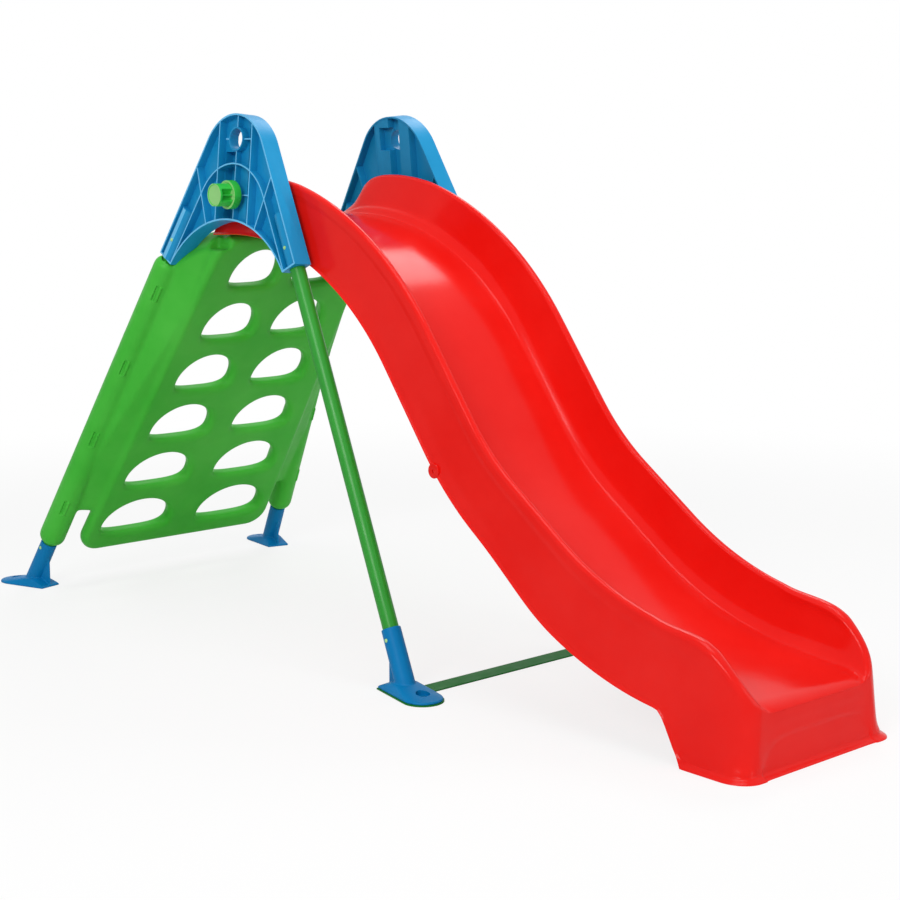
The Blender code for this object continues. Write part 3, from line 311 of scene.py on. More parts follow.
def circle_points(centre, radius, height, facets=40):
    return [Vector((centre[0] + radius * math.cos(turn), centre[1] + radius * math.sin(turn), height))
            for turn in [math.tau * step / facets for step in range(facets)]]


def filleted(corners, steps=8, closed=False):
    """Points along straight runs whose corners, given as u, v and radius, are rounded with arcs."""
    points = []
    count = len(corners)
    for index, (u, v, radius) in enumerate(corners):
        here = Vector((u, v))
        if radius == 0 or (not closed and index in (0, count - 1)):
            points.append(here)
            continue
        before = (Vector(corners[index - 1][:2]) - here).normalized()
        after = (Vector(corners[(index + 1) % count][:2]) - here).normalized()
        half = math.acos(max(-1.0, min(1.0, before.dot(after)))) / 2
        centre = here + (before + after).normalized() * radius / math.sin(half)
        start = here + before * radius / math.tan(half) - centre
        end = here + after * radius / math.tan(half) - centre
        sweep = start.angle_signed(end)
        for step in range(steps + 1):
            points.append(centre + Matrix.Rotation(-sweep * step / steps, 2) @ start)
    return points


def arc_through(first, crown, last, steps):
    chord_a = Vector(crown) - Vector(first)
    chord_b = Vector(last) - Vector(first)
    doubled = 2 * chord_a.cross(chord_b)
    reach = Vector((chord_b.y * chord_a.length_squared - chord_a.y * chord_b.length_squared,
                    chord_a.x * chord_b.length_squared - chord_b.x * chord_a.length_squared))
    centre = Vector(first) + reach / doubled
    start = Vector(first) - centre
    sweep = start.angle_signed(Vector(last) - centre)
    return [centre + Matrix.Rotation(-sweep * step / steps, 2) @ start for step in range(steps + 1)]


def band(points, width):
    left = []
    right = []
    for index, point in enumerate(points):
        ahead = points[min(index + 1, len(points) - 1)] - points[max(index - 1, 0)]
        normal = Vector((-ahead.y, ahead.x)).normalized() * width / 2
        left.append(point + normal)
        right.append(point - normal)
    return left + right[::-1]


def inset(points, distance):
    """A closed outline moved inwards; the outline runs clockwise."""
    moved = []
    count = len(points)
    for index, point in enumerate(points):
        before = (point - points[index - 1]).normalized()
        after = (points[(index + 1) % count] - point).normalized()
        normal_before = Vector((before.y, -before.x))
        normal = (normal_before + Vector((after.y, -after.x))).normalized()
        moved.append(point + normal * distance / max(0.3, normal.dot(normal_before)))
    return moved


def ease(value, start, run):
    """0 before the start, 1 after the run, and an easy curve between."""
    t = max(0.0, min(1.0, (value - start) / run))
    return t * t * (3 - 2 * t)


def catmull(points, steps):
    """A smooth line through all the points."""
    out = []
    for i in range(len(points) - 1):
        p0 = points[max(i - 1, 0)]
        p1 = points[i]
        p2 = points[i + 1]
        p3 = points[min(i + 2, len(points) - 1)]
        for step in range(steps):
            t = step / steps
            out.append(0.5 * (2 * p1 + (p2 - p0) * t + (2 * p0 - 5 * p1 + 4 * p2 - p3) * t * t
                              + (3 * p1 - p0 - 3 * p2 + p3) * t ** 3))
    out.append(points[-1])
    return out


# ---- places on the frame

def outer_y(height):
    return APEX_Y + 0.09 * (HEIGHT - height)


def leg_axis(end, side):
    if end == "front":
        foot_x, foot_y, shoulder_x = FRONT_FOOT_X, FRONT_FOOT_Y, FRONT_SHOULDER_X
    else:
        foot_x, foot_y, shoulder_x = REAR_FOOT_X, REAR_FOOT_Y, REAR_SHOULDER_X
    foot = Vector((foot_x, side * foot_y, 0))
    shoulder = Vector((shoulder_x, side * (outer_y(SHOULDER_Z) - DEPTH / 2), SHOULDER_Z))
    return foot, (shoulder - foot).normalized()


def leg_point(end, side, height):
    foot, direction = leg_axis(end, side)
    return foot + direction * height / direction.z


def foot_floor(end):
    return STRAP_TOP if end == "front" else 0.0


def button_direction(end, side):
    direction = leg_axis(end, side)[1]
    outwards = Vector((0, side, 0))
    return (outwards - direction * outwards.dot(direction)).normalized()


def button_heights(end):
    return (("foot", foot_floor(end) + FOOT_BUTTON_Z, SLEEVE_R), ("bracket", HEIGHT - BRACKET_BUTTON_DROP, SOCKET_R))


def button_hole(end, side, height):
    centre = leg_point(end, side, height)
    out = button_direction(end, side)
    return rod("hole", centre + out * TUBE_R / 2, centre + out * TUBE_R * 2, BUTTON_HOLE_R, facets=32)


# ---- the chute

FLOOR_Y = 0.150
RIM_Y = 0.194
RIM_UP = 0.103
LIP_X = 1.466
LIP_Z = 0.128
NOSE_R = 0.036
STAND_X = 1.262
STAND_RUN = 0.075
CHUTE_WALL = 0.004
LUG_X = 0.669
SKIRT_DROP = 0.039
PAD_FACE_Y = 0.2128
STEPPED_WALL = ((0, 0), (0.06, 0.012), (0.14, 0.07), (0.24, 0.145), (0.33, 0.178), (0.40, 0.215), (0.47, 0.33),
                (0.58, 0.555), (0.70, 0.78))
EASY_WALL = ((0, 0), (0.10, 0.014), (0.20, 0.052), (0.30, 0.110), (0.38, 0.175), (0.45, 0.255), (0.52, 0.37),
             (0.61, 0.56), (0.71, 0.78))
BACK_RIM = ((0, 0.007), (0.010, 0.0155), (0.020, 0.022), (0.030, 0.0295), (0.040, 0.041), (0.050, 0.0545),
            (0.060, 0.066), (0.070, 0.074), (0.090, 0.084), (0.110, 0.0895), (0.140, 0.094), (0.190, 0.0985),
            (0.270, 0.103))
NOSE_RIM = ((0, 0.014), (0.005, 0.022), (0.010, 0.0295), (0.020, 0.0415), (0.030, 0.0515), (0.040, 0.0605),
            (0.050, 0.069), (0.070, 0.083), (0.090, 0.0925), (0.110, 0.099), (0.140, 0.1025), (0.200, 0.103))


def floor_path():
    return filleted([(-0.140, 0.965, 0), (0.297, 0.975, 0.699), (0.706, 0.439, 0.654),
                     (1.089, 0.174, 0.784), (LIP_X, LIP_Z, 0)], steps=60)


def along(points, distance):
    for first, second in zip(points, points[1:]):
        run = (second - first).length
        if distance <= run or second is points[-1]:
            return first + (second - first) * (distance / run), (second - first) / run
        distance -= run


def read_table(table, value):
    """A smooth reading between the rows of a table."""
    points = [Vector(row) for row in table]
    if value >= points[-1].x:
        return points[-1].y
    index = max(i for i, point in enumerate(points) if point.x <= value)
    left = points[max(index - 1, 0)]
    here = points[index]
    there = points[index + 1]
    right = points[min(index + 2, len(points) - 1)]
    run = there.x - here.x
    t = (value - here.x) / run
    slope_here = (there.y - left.y) / max(there.x - left.x, 0.000001) * run
    slope_there = (right.y - here.y) / max(right.x - here.x, 0.000001) * run
    return ((2 * t ** 3 - 3 * t ** 2 + 1) * here.y + (t ** 3 - 2 * t ** 2 + t) * slope_here
            + (3 * t ** 2 - 2 * t ** 3) * there.y + (t ** 3 - t ** 2) * slope_there)


def rim_height(distance, total):
    return min(read_table(BACK_RIM, distance), read_table(NOSE_RIM, max(0.0, total - distance)))


def chute_section(height, depth, plain, swell):
    """Half a section as across and up, with the number of the crest's column."""
    wall = RIM_Y - FLOOR_Y
    crest = 0.010 * (1 + height / RIM_UP) / 2 * (1 + 0.55 * swell)
    line = [Vector((0.0, 0.0))]
    line += [Vector((FLOOR_Y * step / 22, 0.0)) for step in range(1, 22)]
    rise = []
    for stepped, easy in zip(STEPPED_WALL, EASY_WALL):
        u, v = Vector(stepped).lerp(Vector(easy), plain)
        rise.append(Vector((FLOOR_Y + wall * u, height * v)))
    roll = []
    for turn in range(160, 19, -14):
        angle = math.radians(turn)
        roll.append(Vector((RIM_Y + crest * math.cos(angle), height + crest * (math.sin(angle) - 1))))
    line += catmull(rise + roll, 3)
    crest_column = line.index(max(line, key=lambda point: point.y))
    top = line[-1]
    drop = top.y + depth
    for share in [step / 32 for step in range(1, 30)] + [0.925, 0.94, 0.955, 0.97, 0.98, 0.99, 1.0]:
        step = 0.0013 * ease(share, 0.11, 0.06) * (1 - ease(share, 0.7, 0.3)) * min(1.0, height / RIM_UP)
        line.append(Vector((top.x + (SKIRT_Y - top.x) * share - step, top.y - drop * share)))
    return line, crest_column


def chute_row(place, direction, distance, total, nose_turn):
    upright = ease(place.x, STAND_X - STAND_RUN, STAND_RUN)
    normal = Vector((-direction.y * (1 - upright), direction.x)).normalized()
    height = rim_height(distance, total)
    to_floor = place.y / normal.y
    depth = SKIRT_DROP + 0.017 * ease(place.x, 0.780, 0.240)
    stand = ease(place.x, STAND_X, STAND_RUN)
    depth = min(depth + (to_floor - depth) * stand, to_floor)
    pull = NOSE_R * (1 - math.cos(nose_turn)) / SKIRT_Y
    swell = ease(distance, total - 0.330, 0.20)
    line, crest_column = chute_section(height, depth, 0.88 * ease(place.x, 0.02, 0.40), swell)
    count = len(line)
    row = []
    for column, (across, up) in enumerate(line):
        point = place + normal * up
        level = max(0.0, point.y)
        level -= 0.012 * (1 - math.cos(nose_turn)) * ease(level, 0.030, 0.080)
        forward = 0.060 * (LIP_Z - level) * math.sin(nose_turn)
        edge = 0.003 * ease(column, count - 5.5, 4.5) + 0.010 * ease(0.0105 - level, 0.0, 0.0095)
        row.append(Vector((point.x + forward + edge * math.sin(nose_turn),
                           across * (1 - pull) + edge * math.cos(nose_turn), level)))
    return row, crest_column


def recess(y, z):
    """How deep the front face is pressed in: a shallow arch, and a plain band under the lip."""
    reach = (abs(y) / 0.168) ** 6 + (max(z, 0.0) / 0.072) ** 2
    return 0.0026 * ease(1.0 - reach, 0.0, 0.16) + 0.0010 * (1 - ease(z, 0.088, 0.008)) * ease(0.172 - abs(y), 0, 0.03)


def soften_nose(skin):
    """Round the lip a little, and the two front corners a lot."""
    bm = bmesh.new()
    bm.from_mesh(skin.data)
    for steps, weigh in ((3, lambda co: ease(co.x, LIP_X - 0.012, 0.008)),
                         (110, lambda co: ease(co.x, LIP_X - 0.085, 0.040) * ease(co.y, 0.125, 0.045))):
        weights = {vert: weigh(vert.co) * ease(vert.co.z, 0.014, 0.012) for vert in bm.verts if not vert.is_boundary}
        weights = {vert: weight for vert, weight in weights.items() if weight > 0}
        for step in range(steps):
            targets = {}
            for vert, weight in weights.items():
                middle = Vector((0, 0, 0))
                for edge in vert.link_edges:
                    middle += edge.other_vert(vert).co
                targets[vert] = vert.co.lerp(middle / len(vert.link_edges), 0.5 * weight)
            for vert, target in targets.items():
                vert.co = target
    bm.to_mesh(skin.data)
    bm.free()


def make_chute(material):
    path = floor_path()
    total = sum((b - a).length for a, b in zip(path, path[1:]))
    straight = total - NOSE_R
    stations = []
    count = 150
    for index in range(count + 1):
        share = index / count
        crowded = (1 - math.cos(math.pi * share)) / 2
        stations.append((straight * (share + (crowded - share) * 0.5), 0.0))
    for index in range(1, 13):
        turn = math.pi / 2 * index / 12
        stations.append((straight + NOSE_R * math.sin(turn), turn))
    rows = [chute_row(*along(path, distance), distance, total, turn) for distance, turn in stations]
    bm = bmesh.new()
    grid = [[bm.verts.new(point) for point in row] for row, crest in rows]
    last_row, crest = rows[-1]
    last = grid[-1]
    top = last_row[:crest]
    corner_top = last_row[crest]
    front = [last[:crest + 1]]
    for offset, corner in enumerate(last_row[crest + 1:], start=1):
        share = corner.z / corner_top.z
        widen = corner.y / corner_top.y
        line = []
        for point in top:
            z = point.z * share
            y = point.y * widen
            line.append(bm.verts.new((corner.x - recess(y, z), y, z)))
        front.append(line + [last[crest + offset]])
    for patch in (grid, front):
        for upper, lower in zip(patch, patch[1:]):
            for column in range(len(upper) - 1):
                bm.faces.new((upper[column], lower[column], lower[column + 1], upper[column + 1]))
    skin = new_object("chute", bm)
    soften_nose(skin)
    mirror = skin.modifiers.new("other half", "MIRROR")
    mirror.use_axis = (False, True, False)
    mirror.merge_threshold = 0.0001
    wall = skin.modifiers.new("wall", "SOLIDIFY")
    wall.thickness = CHUTE_WALL
    wall.offset = -1
    bake(skin)
    for vert in skin.data.vertices:
        vert.co.z = max(0.0, vert.co.z)
    extras = []
    for name, side in SIDES:
        extras.append(turned("pad", rounded_profile([(0, 0), (0.019, 0), (0.019, 0.0095), (0.006, 0.0095)], 0.0012),
                             frame_along((0, side * (PAD_FACE_Y - 0.0055), PIVOT_Z), (0, side, 0)), 40))
        spot = lug_place()
        tab, hole = [[Vector((radius * math.cos(math.tau * i / facets), radius * math.sin(math.tau * i / facets)))
                      for i in range(facets)] for radius, facets in ((0.016, 40), (0.0045, 24))]
        extras.append(extruded("lug", [tab, hole], 0.006,
                               frame_along((spot.x, side * 0.2202, spot.y), (0, side, 0), (1, 0, 0)), 0.0012))
    merge(skin, extras)
    return piece(skin, "chute_moulding", "chute", material, ["chute"], 42)


def lug_place():
    path = floor_path()
    distance = 0.0
    while along(path, distance)[0].x < LUG_X:
        distance += 0.0005
    place, direction = along(path, distance)
    return place - Vector((-direction.y, direction.x)) * SKIRT_DROP


# ---- tubes, feet and strap

def make_leg(end, name, side, material):
    start = leg_point(end, side, foot_floor(end) + 0.0183)
    top = leg_point(end, side, TUBE_TOP_Z)
    length = (top - start).length
    inner = TUBE_R - TUBE_WALL
    profile = [(TUBE_R, length - 0.0004), (TUBE_R, 0.0004), (TUBE_R - 0.0004, 0), (inner, 0), (inner, length),
               (TUBE_R - 0.0004, length)]
    tube = turned("leg", profile, frame_along(start, top - start), 72, closed=True)
    combine(tube, [button_hole(end, side, row[1]) for row in button_heights(end)], "DIFFERENCE")
    return piece(tube, f"{end}_tube_{name}", "frame", material, [f"{end}_leg_{name}"])


def foot_outline(end, side, margin):
    foot, direction = leg_axis(end, side)
    outwards = -direction.xy.normalized()
    across = Vector((-outwards.y, outwards.x))
    lobe = foot.xy + outwards * 0.0535
    tail = foot.xy - outwards * (0.070 + margin)
    half = 0.030 + margin
    return lobe, (tail + across * half, tail - across * half), outwards


def make_foot(end, name, side, material):
    floor = foot_floor(end)
    lobe, tails, outwards = foot_outline(end, side, 0.0)
    foot, direction = leg_axis(end, side)
    points = []
    for level, shrink in ((floor, 0.0), (floor + 0.003, 0.0), (floor + 0.0048, 0.0012)):
        points += circle_points(lobe, 0.0430 - shrink, level)
        points += [Vector((*(corner + (foot.xy - corner).normalized() * shrink), level)) for corner in tails]
    crown = leg_point(end, side, floor + 0.020)
    points += circle_points(crown.xy, 0.0275, floor + 0.020)
    base = hull("foot", points)
    top = leg_point(end, side, floor + (0.126 if end == "front" else 0.119))
    sleeve = rod("sleeve", leg_point(end, side, floor + 0.010), top, SLEEVE_R + 0.0006, SLEEVE_R)
    high = leg_point(end, side, floor + 0.084)
    edge = foot.xy - outwards * 0.069
    half = Vector((-outwards.y, outwards.x, 0)) * 0.004 / 2
    corners = (crown, high, Vector((*edge, high.z)), Vector((*edge, floor + 0.004)))
    gusset = hull("gusset", [corner + shift for corner in corners for shift in (half, -half)])
    merge(base, [sleeve, gusset])
    melt(base, 0.0017, 3)
    for vert in base.data.vertices:
        vert.co.z = max(floor, vert.co.z)
    stop = leg_point(end, side, floor + 0.018)
    bore = rod("bore", stop, top + direction * SLEEVE_R, BORE_R)
    anchor = rod("anchor", (*lobe, floor - 0.02), (*lobe, floor + 0.04), ANCHOR_R, facets=48)
    recess_cut = rod("recess", (*lobe, floor + 0.0050), (*lobe, floor + 0.04), 0.0148, 0.0155, facets=56)
    combine(base, [bore, anchor, recess_cut, button_hole(end, side, floor + FOOT_BUTTON_Z)], "DIFFERENCE")
    return piece(base, f"{end}_shoe_{name}", "frame", material, [f"{end}_foot_{name}"], 50)


def make_strap(material):
    half = 0.045 / 2
    bar = [Vector((FRONT_FOOT_X + x, y)) for x, y in ((-half, -FRONT_FOOT_Y), (half, -FRONT_FOOT_Y),
                                                      (half, FRONT_FOOT_Y), (-half, FRONT_FOOT_Y))]
    strap = extruded("strap", [bar], 0.003, Matrix.Translation((0, 0, 0.0015)))
    plates = []
    holes = []
    for name, side in SIDES:
        lobe, tails = foot_outline("front", side, 0.0015)[:2]
        points = [Vector((*corner, height)) for corner in tails for height in (0, 0.003)]
        points += circle_points(lobe, 0.0448, 0) + circle_points(lobe, 0.0448, 0.003)
        plates.append(hull("plate", points))
        holes.append(rod("hole", (*lobe, -0.01), (*lobe, 0.01), ANCHOR_R, facets=40))
    combine(strap, plates, "UNION")
    combine(strap, holes, "DIFFERENCE")
    chamfer(strap, 0.0006)
    return piece(strap, "strap_bar", "frame", material, ["floor_strap"])


# ---- shoulder brackets

ARCH_DROP = 0.238
HAND_HOLE_DROP = 0.055


def bracket_frame(side, depth_in=0.0):
    up = Vector((0, -side * math.sin(LEAN), math.cos(LEAN)))
    out = Vector((0, side * math.cos(LEAN), math.sin(LEAN)))
    rotation = Matrix((up.cross(out), up, out)).transposed().to_4x4()
    return Matrix.Translation(Vector((0, side * APEX_Y, HEIGHT)) - out * depth_in) @ rotation


def leg_offset(end, across):
    axis = leg_point(end, 1, CUT_Z)
    direction = leg_axis(end, 1)[1]
    run = Vector((direction.x, direction.z)).normalized()
    outwards = Vector((run.y, -run.x)) * (1 if end == "front" else -1)
    return Vector((axis.x, axis.z)) + outwards * across


def bracket_outline():
    outer = filleted([(*leg_offset("rear", 0.027), 0), (0.006, HEIGHT + 0.117, 0.123),
                      (*leg_offset("front", 0.027), 0)], steps=36)
    soffit = arc_through(leg_offset("front", -0.0225), (0, HEIGHT - ARCH_DROP), leg_offset("rear", -0.027), 36)
    return outer + soffit


def bracket_piece(name, side, outlines, near, far):
    stretch = 1 / math.cos(LEAN)
    placed = [[Vector((-side * point.x, (point.y - HEIGHT) * stretch)) for point in outline]
              for outline in outlines]
    return extruded(name, placed, far - near, bracket_frame(side, (near + far) / 2))


def straight_rib(side, first, second, near, far, width=0.0032):
    return bracket_piece("rib", side, [band([Vector(first), Vector(second)], width)], near, far)


def box_outline(left, right, bottom, top):
    return [Vector(corner) for corner in ((left, bottom), (left, top), (right, top), (right, bottom))]


def make_bracket(name, side, material, highlight_paint_material):
    outline = bracket_outline()
    web_near = DEPTH / 2 - 0.0015
    rim = bracket_piece("bracket", side, [outline, inset(outline, 0.004)], 0, DEPTH)
    above = HEIGHT + DEPTH
    arch_z = HEIGHT - ARCH_DROP
    below = arch_z - DEPTH
    hand_z = HEIGHT - HAND_HOLE_DROP
    web = bracket_piece("web", side, [inset(outline, 0.001)], web_near, web_near + 0.003)
    shield = bracket_piece("shield", side, [inset(outline, 0.002)], -DEPTH, DEPTH * 2)
    arch = filleted([(*leg_offset("rear", -0.0235), 0), (0.0085, HEIGHT + 0.0146, 0.138),
                     (*leg_offset("front", -0.019), 0)], steps=28)
    near = 0.0005
    far = DEPTH - near
    middle = DEPTH / 2
    rib_x = 0.062
    deck = DEPTH - 0.0020
    ribs = [
        bracket_piece("arch rib", side, [band(arch, 0.0034)], near * 2, middle + 0.0009),
        straight_rib(side, (-rib_x, below), (-rib_x, above), near, far),
        straight_rib(side, (rib_x, below), (rib_x, above), near, far),
        straight_rib(side, (0, below), (0, above), 0.006, middle + 0.0007),
        straight_rib(side, (-0.145, HEIGHT - 0.120), (-0.096, HEIGHT - 0.254), near, far),
        straight_rib(side, (0.144, HEIGHT - 0.136), (0.089, HEIGHT - 0.260), near, far),
        straight_rib(side, (-rib_x + 0.018, hand_z), (rib_x + 0.0007, hand_z), 0.007, middle + 0.0005),
        straight_rib(side, (-rib_x - 0.0004, PIVOT_Z), (rib_x + 0.0004, PIVOT_Z), 0.0135, middle + 0.0003)]
    columns = []
    pockets = []
    for left, right in ((-rib_x, -0.0115), (0.0265, rib_x)):
        columns.append(bracket_piece("column", side, [box_outline(left, right, below, above)], middle, far - near))
        roof = hand_z - 0.028 if left < 0 else HEIGHT - 0.030
        pocket = box_outline(left + 0.003, right - 0.003, arch_z + 0.004, roof)
        hollow = bracket_piece("pocket", side, [pocket], -0.003, DEPTH - 0.003)
        kept = [bracket_piece("deep arch", side, [band(arch, 0.0041)], -0.01, deck),
                straight_rib(side, (-0.05, hand_z), (0.1, hand_z), -0.01, deck, 0.0038),
                straight_rib(side, (-0.1, PIVOT_Z), (0.1, PIVOT_Z), -0.01, deck, 0.0038)]
        pockets.append(combine(hollow, kept, "DIFFERENCE"))
    hand = bracket_frame(side) @ Vector((0, -HAND_HOLE_DROP / math.cos(LEAN), 0))
    out = bracket_frame(side).to_3x3() @ Vector((0, 0, 1))
    ribs.append(rod("ring", hand - out * 0.003, hand - out * (middle + 0.001), 0.027, facets=56))
    combine(web, columns, "UNION")
    combine(web, pockets, "DIFFERENCE")
    combine(web, ribs, "UNION")
    combine(web, [shield], "INTERSECT")
    combine(rim, [web], "UNION")
    pad_out = 0.2173
    hub_in = Vector((0, side * pad_out, PIVOT_Z))
    hub_out = Vector((0, side * (outer_y(PIVOT_Z) - KNOB_RECESS), PIVOT_Z))
    over = Vector((0, side * 0.016, 0))
    adds = [rod("hub", hub_in, hub_out, 0.016, facets=48)]
    relief = box_outline(-0.046, -0.0095, hand_z - 0.024, hand_z + 0.030)
    holes = [rod("stud hole", hub_in - over, hub_out + over, 0.0053, facets=32),
             rod("hand hole", hand + out * DEPTH, hand - out * DEPTH * 2, 0.0235, facets=56),
             bracket_piece("relief", side, [relief], middle + 0.0045, DEPTH * 2)]
    for end in ("rear", "front"):
        direction = leg_axis(end, side)[1]
        mouth = leg_point(end, side, CUT_Z)
        top = leg_point(end, side, TUBE_TOP_Z)
        adds.append(rod("socket", mouth, top + direction * 0.003, SOCKET_R, facets=56))
        holes.append(rod("bore", mouth - direction * SOCKET_R, top + direction * 0.0003, BORE_R, facets=56))
        holes.append(button_hole(end, side, HEIGHT - BRACKET_BUTTON_DROP))
    combine(rim, adds, "UNION")
    combine(rim, holes, "DIFFERENCE")
    chamfer(rim, 0.0005, 1, 50)
    piece(rim, f"shoulder_{name}", "frame", material, [f"bracket_{name}"], 40)
    # The outer faces of the rim and ribs take the paler blue: a painted highlight along the rib edges.
    return painted_highlight_faces(rim, highlight_paint_material, SHIFT @ bracket_frame(side), lambda spot, normal:
                       normal.z > 0.95 and spot.z > -0.0146 and not -0.0045 < spot.z < -0.00115)


# ---- knobs and buttons

def make_knob(name, side, material, highlight_paint_material):
    """A cup-shaped base with a long closed grip, whose sides are scooped out round a rib."""
    seat = outer_y(PIVOT_Z) - KNOB_RECESS + 0.0003
    place = frame_along((0, side * seat, PIVOT_Z), (0, side, 0), (1, 0, 0))
    stud = seat - (PAD_FACE_Y - 0.0064 - 0.008 - 0.003)
    profile = rounded_profile([(0, 0.0512), (0.0225, 0.0512), (0.0235, 0.0525), (0.0262, 0.0525), (0.0262, 0.011),
                               (0.0268, 0.0110), (0.0268, 0.0185), (0.0325, 0.0185), (0.0325, 0), (0.005, 0),
                               (0.005, 0.0008 - stud)], 0.0006)
    knob = turned("knob", profile[:-1] + [(0.005, 0.001 - stud), (0.004, -stud), (0, -stud)], place, 80)
    scoops = []
    ribs = []
    for turn in (0, 180):
        spot = place @ Matrix.Rotation(math.radians(turn), 4, "Z")
        scoops.append(turned("scoop", rounded_profile([(0, 0.0475), (0.0155, 0.0475), (0.0155, 0.0185), (0, 0.0185)],
                                                      0.004), spot @ Matrix.Translation((0.0290, 0, 0)), 56))
        ribs.append(block("rib", (0.0125, 0.0026, 0.0310), spot @ Matrix.Translation((0.0177, 0, 0.0330))))
    combine(knob, scoops, "DIFFERENCE")
    combine(knob, ribs, "UNION")
    notches = []
    for turn in (90, 270):
        spot = Matrix.Rotation(math.radians(turn), 4, "Z") @ Matrix.Translation((0.0385, 0, 0))
        notches.append(rod("notch", place @ spot @ Vector((0, 0, 0.020)), place @ spot @ Vector((0, 0, 0.060)),
                           0.0150, 0.0138, facets=56))
    combine(knob, notches, "DIFFERENCE")
    chamfer(knob, 0.0006, 2, 50)
    piece(knob, f"hand_knob_{name}", f"knob_{name}", material, [f"knob_{name}"], 40)
    # The grip's outer end faces take the paler green: a painted highlight on the faces turned to the light.
    return painted_highlight_faces(knob, highlight_paint_material, SHIFT @ place, lambda spot, normal: normal.z > 0.9 and spot.z > 0.016)


def make_button(end, place_name, name, side, height, sleeve, material):
    centre = leg_point(end, side, height)
    out = button_direction(end, side)
    node = f"{end}_{place_name}_button_{name}"
    flange = BUTTON_FLANGE_TOP
    tip = sleeve + BUTTON_PROUD
    turns = [math.pi / 2 * i / 8 for i in range(9)]
    dome = [(BUTTON_R * math.sin(turn), tip - 0.0026 * (1 - math.cos(turn))) for turn in turns]
    profile = dome + [(BUTTON_R, flange), (0.0064, flange), (0.0064, flange - BUTTON_FLANGE),
                      (0, flange - BUTTON_FLANGE)]
    button = turned("button", profile, frame_along(centre, out, leg_axis(end, side)[1]), 32)
    return piece(button, f"dome_{end}_{place_name}_{name}", node, material, [node], 40)


def make_spring(end, place_name, name, side, height, towards, material):
    """The bent strip inside the tube, whose upper arm lies under the button that it pushes."""
    centre = leg_point(end, side, height)
    out = button_direction(end, side)
    along_tube = leg_axis(end, side)[1] * towards
    high = 0.0115
    low = -0.0147
    line = filleted([(high, -0.007, 0), (high, 0, 0.006), ((high + low) / 2, 0.045, 0.004), (low, 0, 0.006),
                     (low, -0.007, 0)], steps=10)
    rotation = Matrix((out, along_tube, out.cross(along_tube))).transposed().to_4x4()
    strip = extruded("spring", [band(line, 0.0008)], 0.007, Matrix.Translation(centre) @ rotation, 0.00015, 1)
    node = f"{end}_{place_name}_spring_{name}"
    piece(strip, f"leaf_{end}_{place_name}_{name}", None, material, [node], 40)
    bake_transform(strip)


# ---- the climbing panel

PANEL_THICK = 0.036
PANEL_BOTTOM = 0.111
RAIL_LOW_Z = 0.119


def plate_matrix():
    top = Vector((-0.0966, 0, HEIGHT - 0.274))
    foot = Vector((-0.753, 0, 0))
    up = (top - foot).normalized()
    across = Vector((0, 1, 0))
    rotation = Matrix((across, up, across.cross(up))).transposed().to_4x4()
    return Matrix.Translation(foot) @ rotation, (top - foot).length


def foot_hole(side, inner, outer, sill):
    """A leaf-shaped opening: a pointed inner end, a high round outer end and a slightly bowed sill."""
    half = (outer - inner) / 2
    centre = side * (inner + outer) / 2
    points = []
    count = 64
    for step in range(count):
        turn = math.tau * step / count
        c = math.cos(turn)
        s = math.sin(turn)
        if s >= 0:
            points.append(Vector((centre + half * c, sill + 0.032 + 0.078 * s)))
        else:
            flat = math.copysign(abs(c) ** 0.6, c)
            points.append(Vector((centre + half * flat, sill + 0.032 * (1 - abs(s) ** 0.6))))
    return points


def clip_lift(spot, lengthwise, across, centre):
    """How far a point of the rail moves out for a clip: a raised strip beside a shallow groove."""
    offset = spot - centre
    u = offset.dot(across)
    v = abs(offset.dot(lengthwise))
    ends = 1 - ease(v, 0.018, 0.005)
    strip = ease(u, -0.0005, 0.002) * (1 - ease(u, 0.0055, 0.002))
    groove = ease(u, -0.0085, 0.002) * (1 - ease(u, -0.0025, 0.002))
    return ends * (0.0030 * strip - 0.0042 * groove)


def swing_room(side):
    """The space that a rear corner of the chute needs beside the panel's top when the chute swings."""
    return block("room", (0.12, 0.06, 0.11), Matrix.Translation((-0.086, side * 0.2305, HEIGHT - 0.256)))


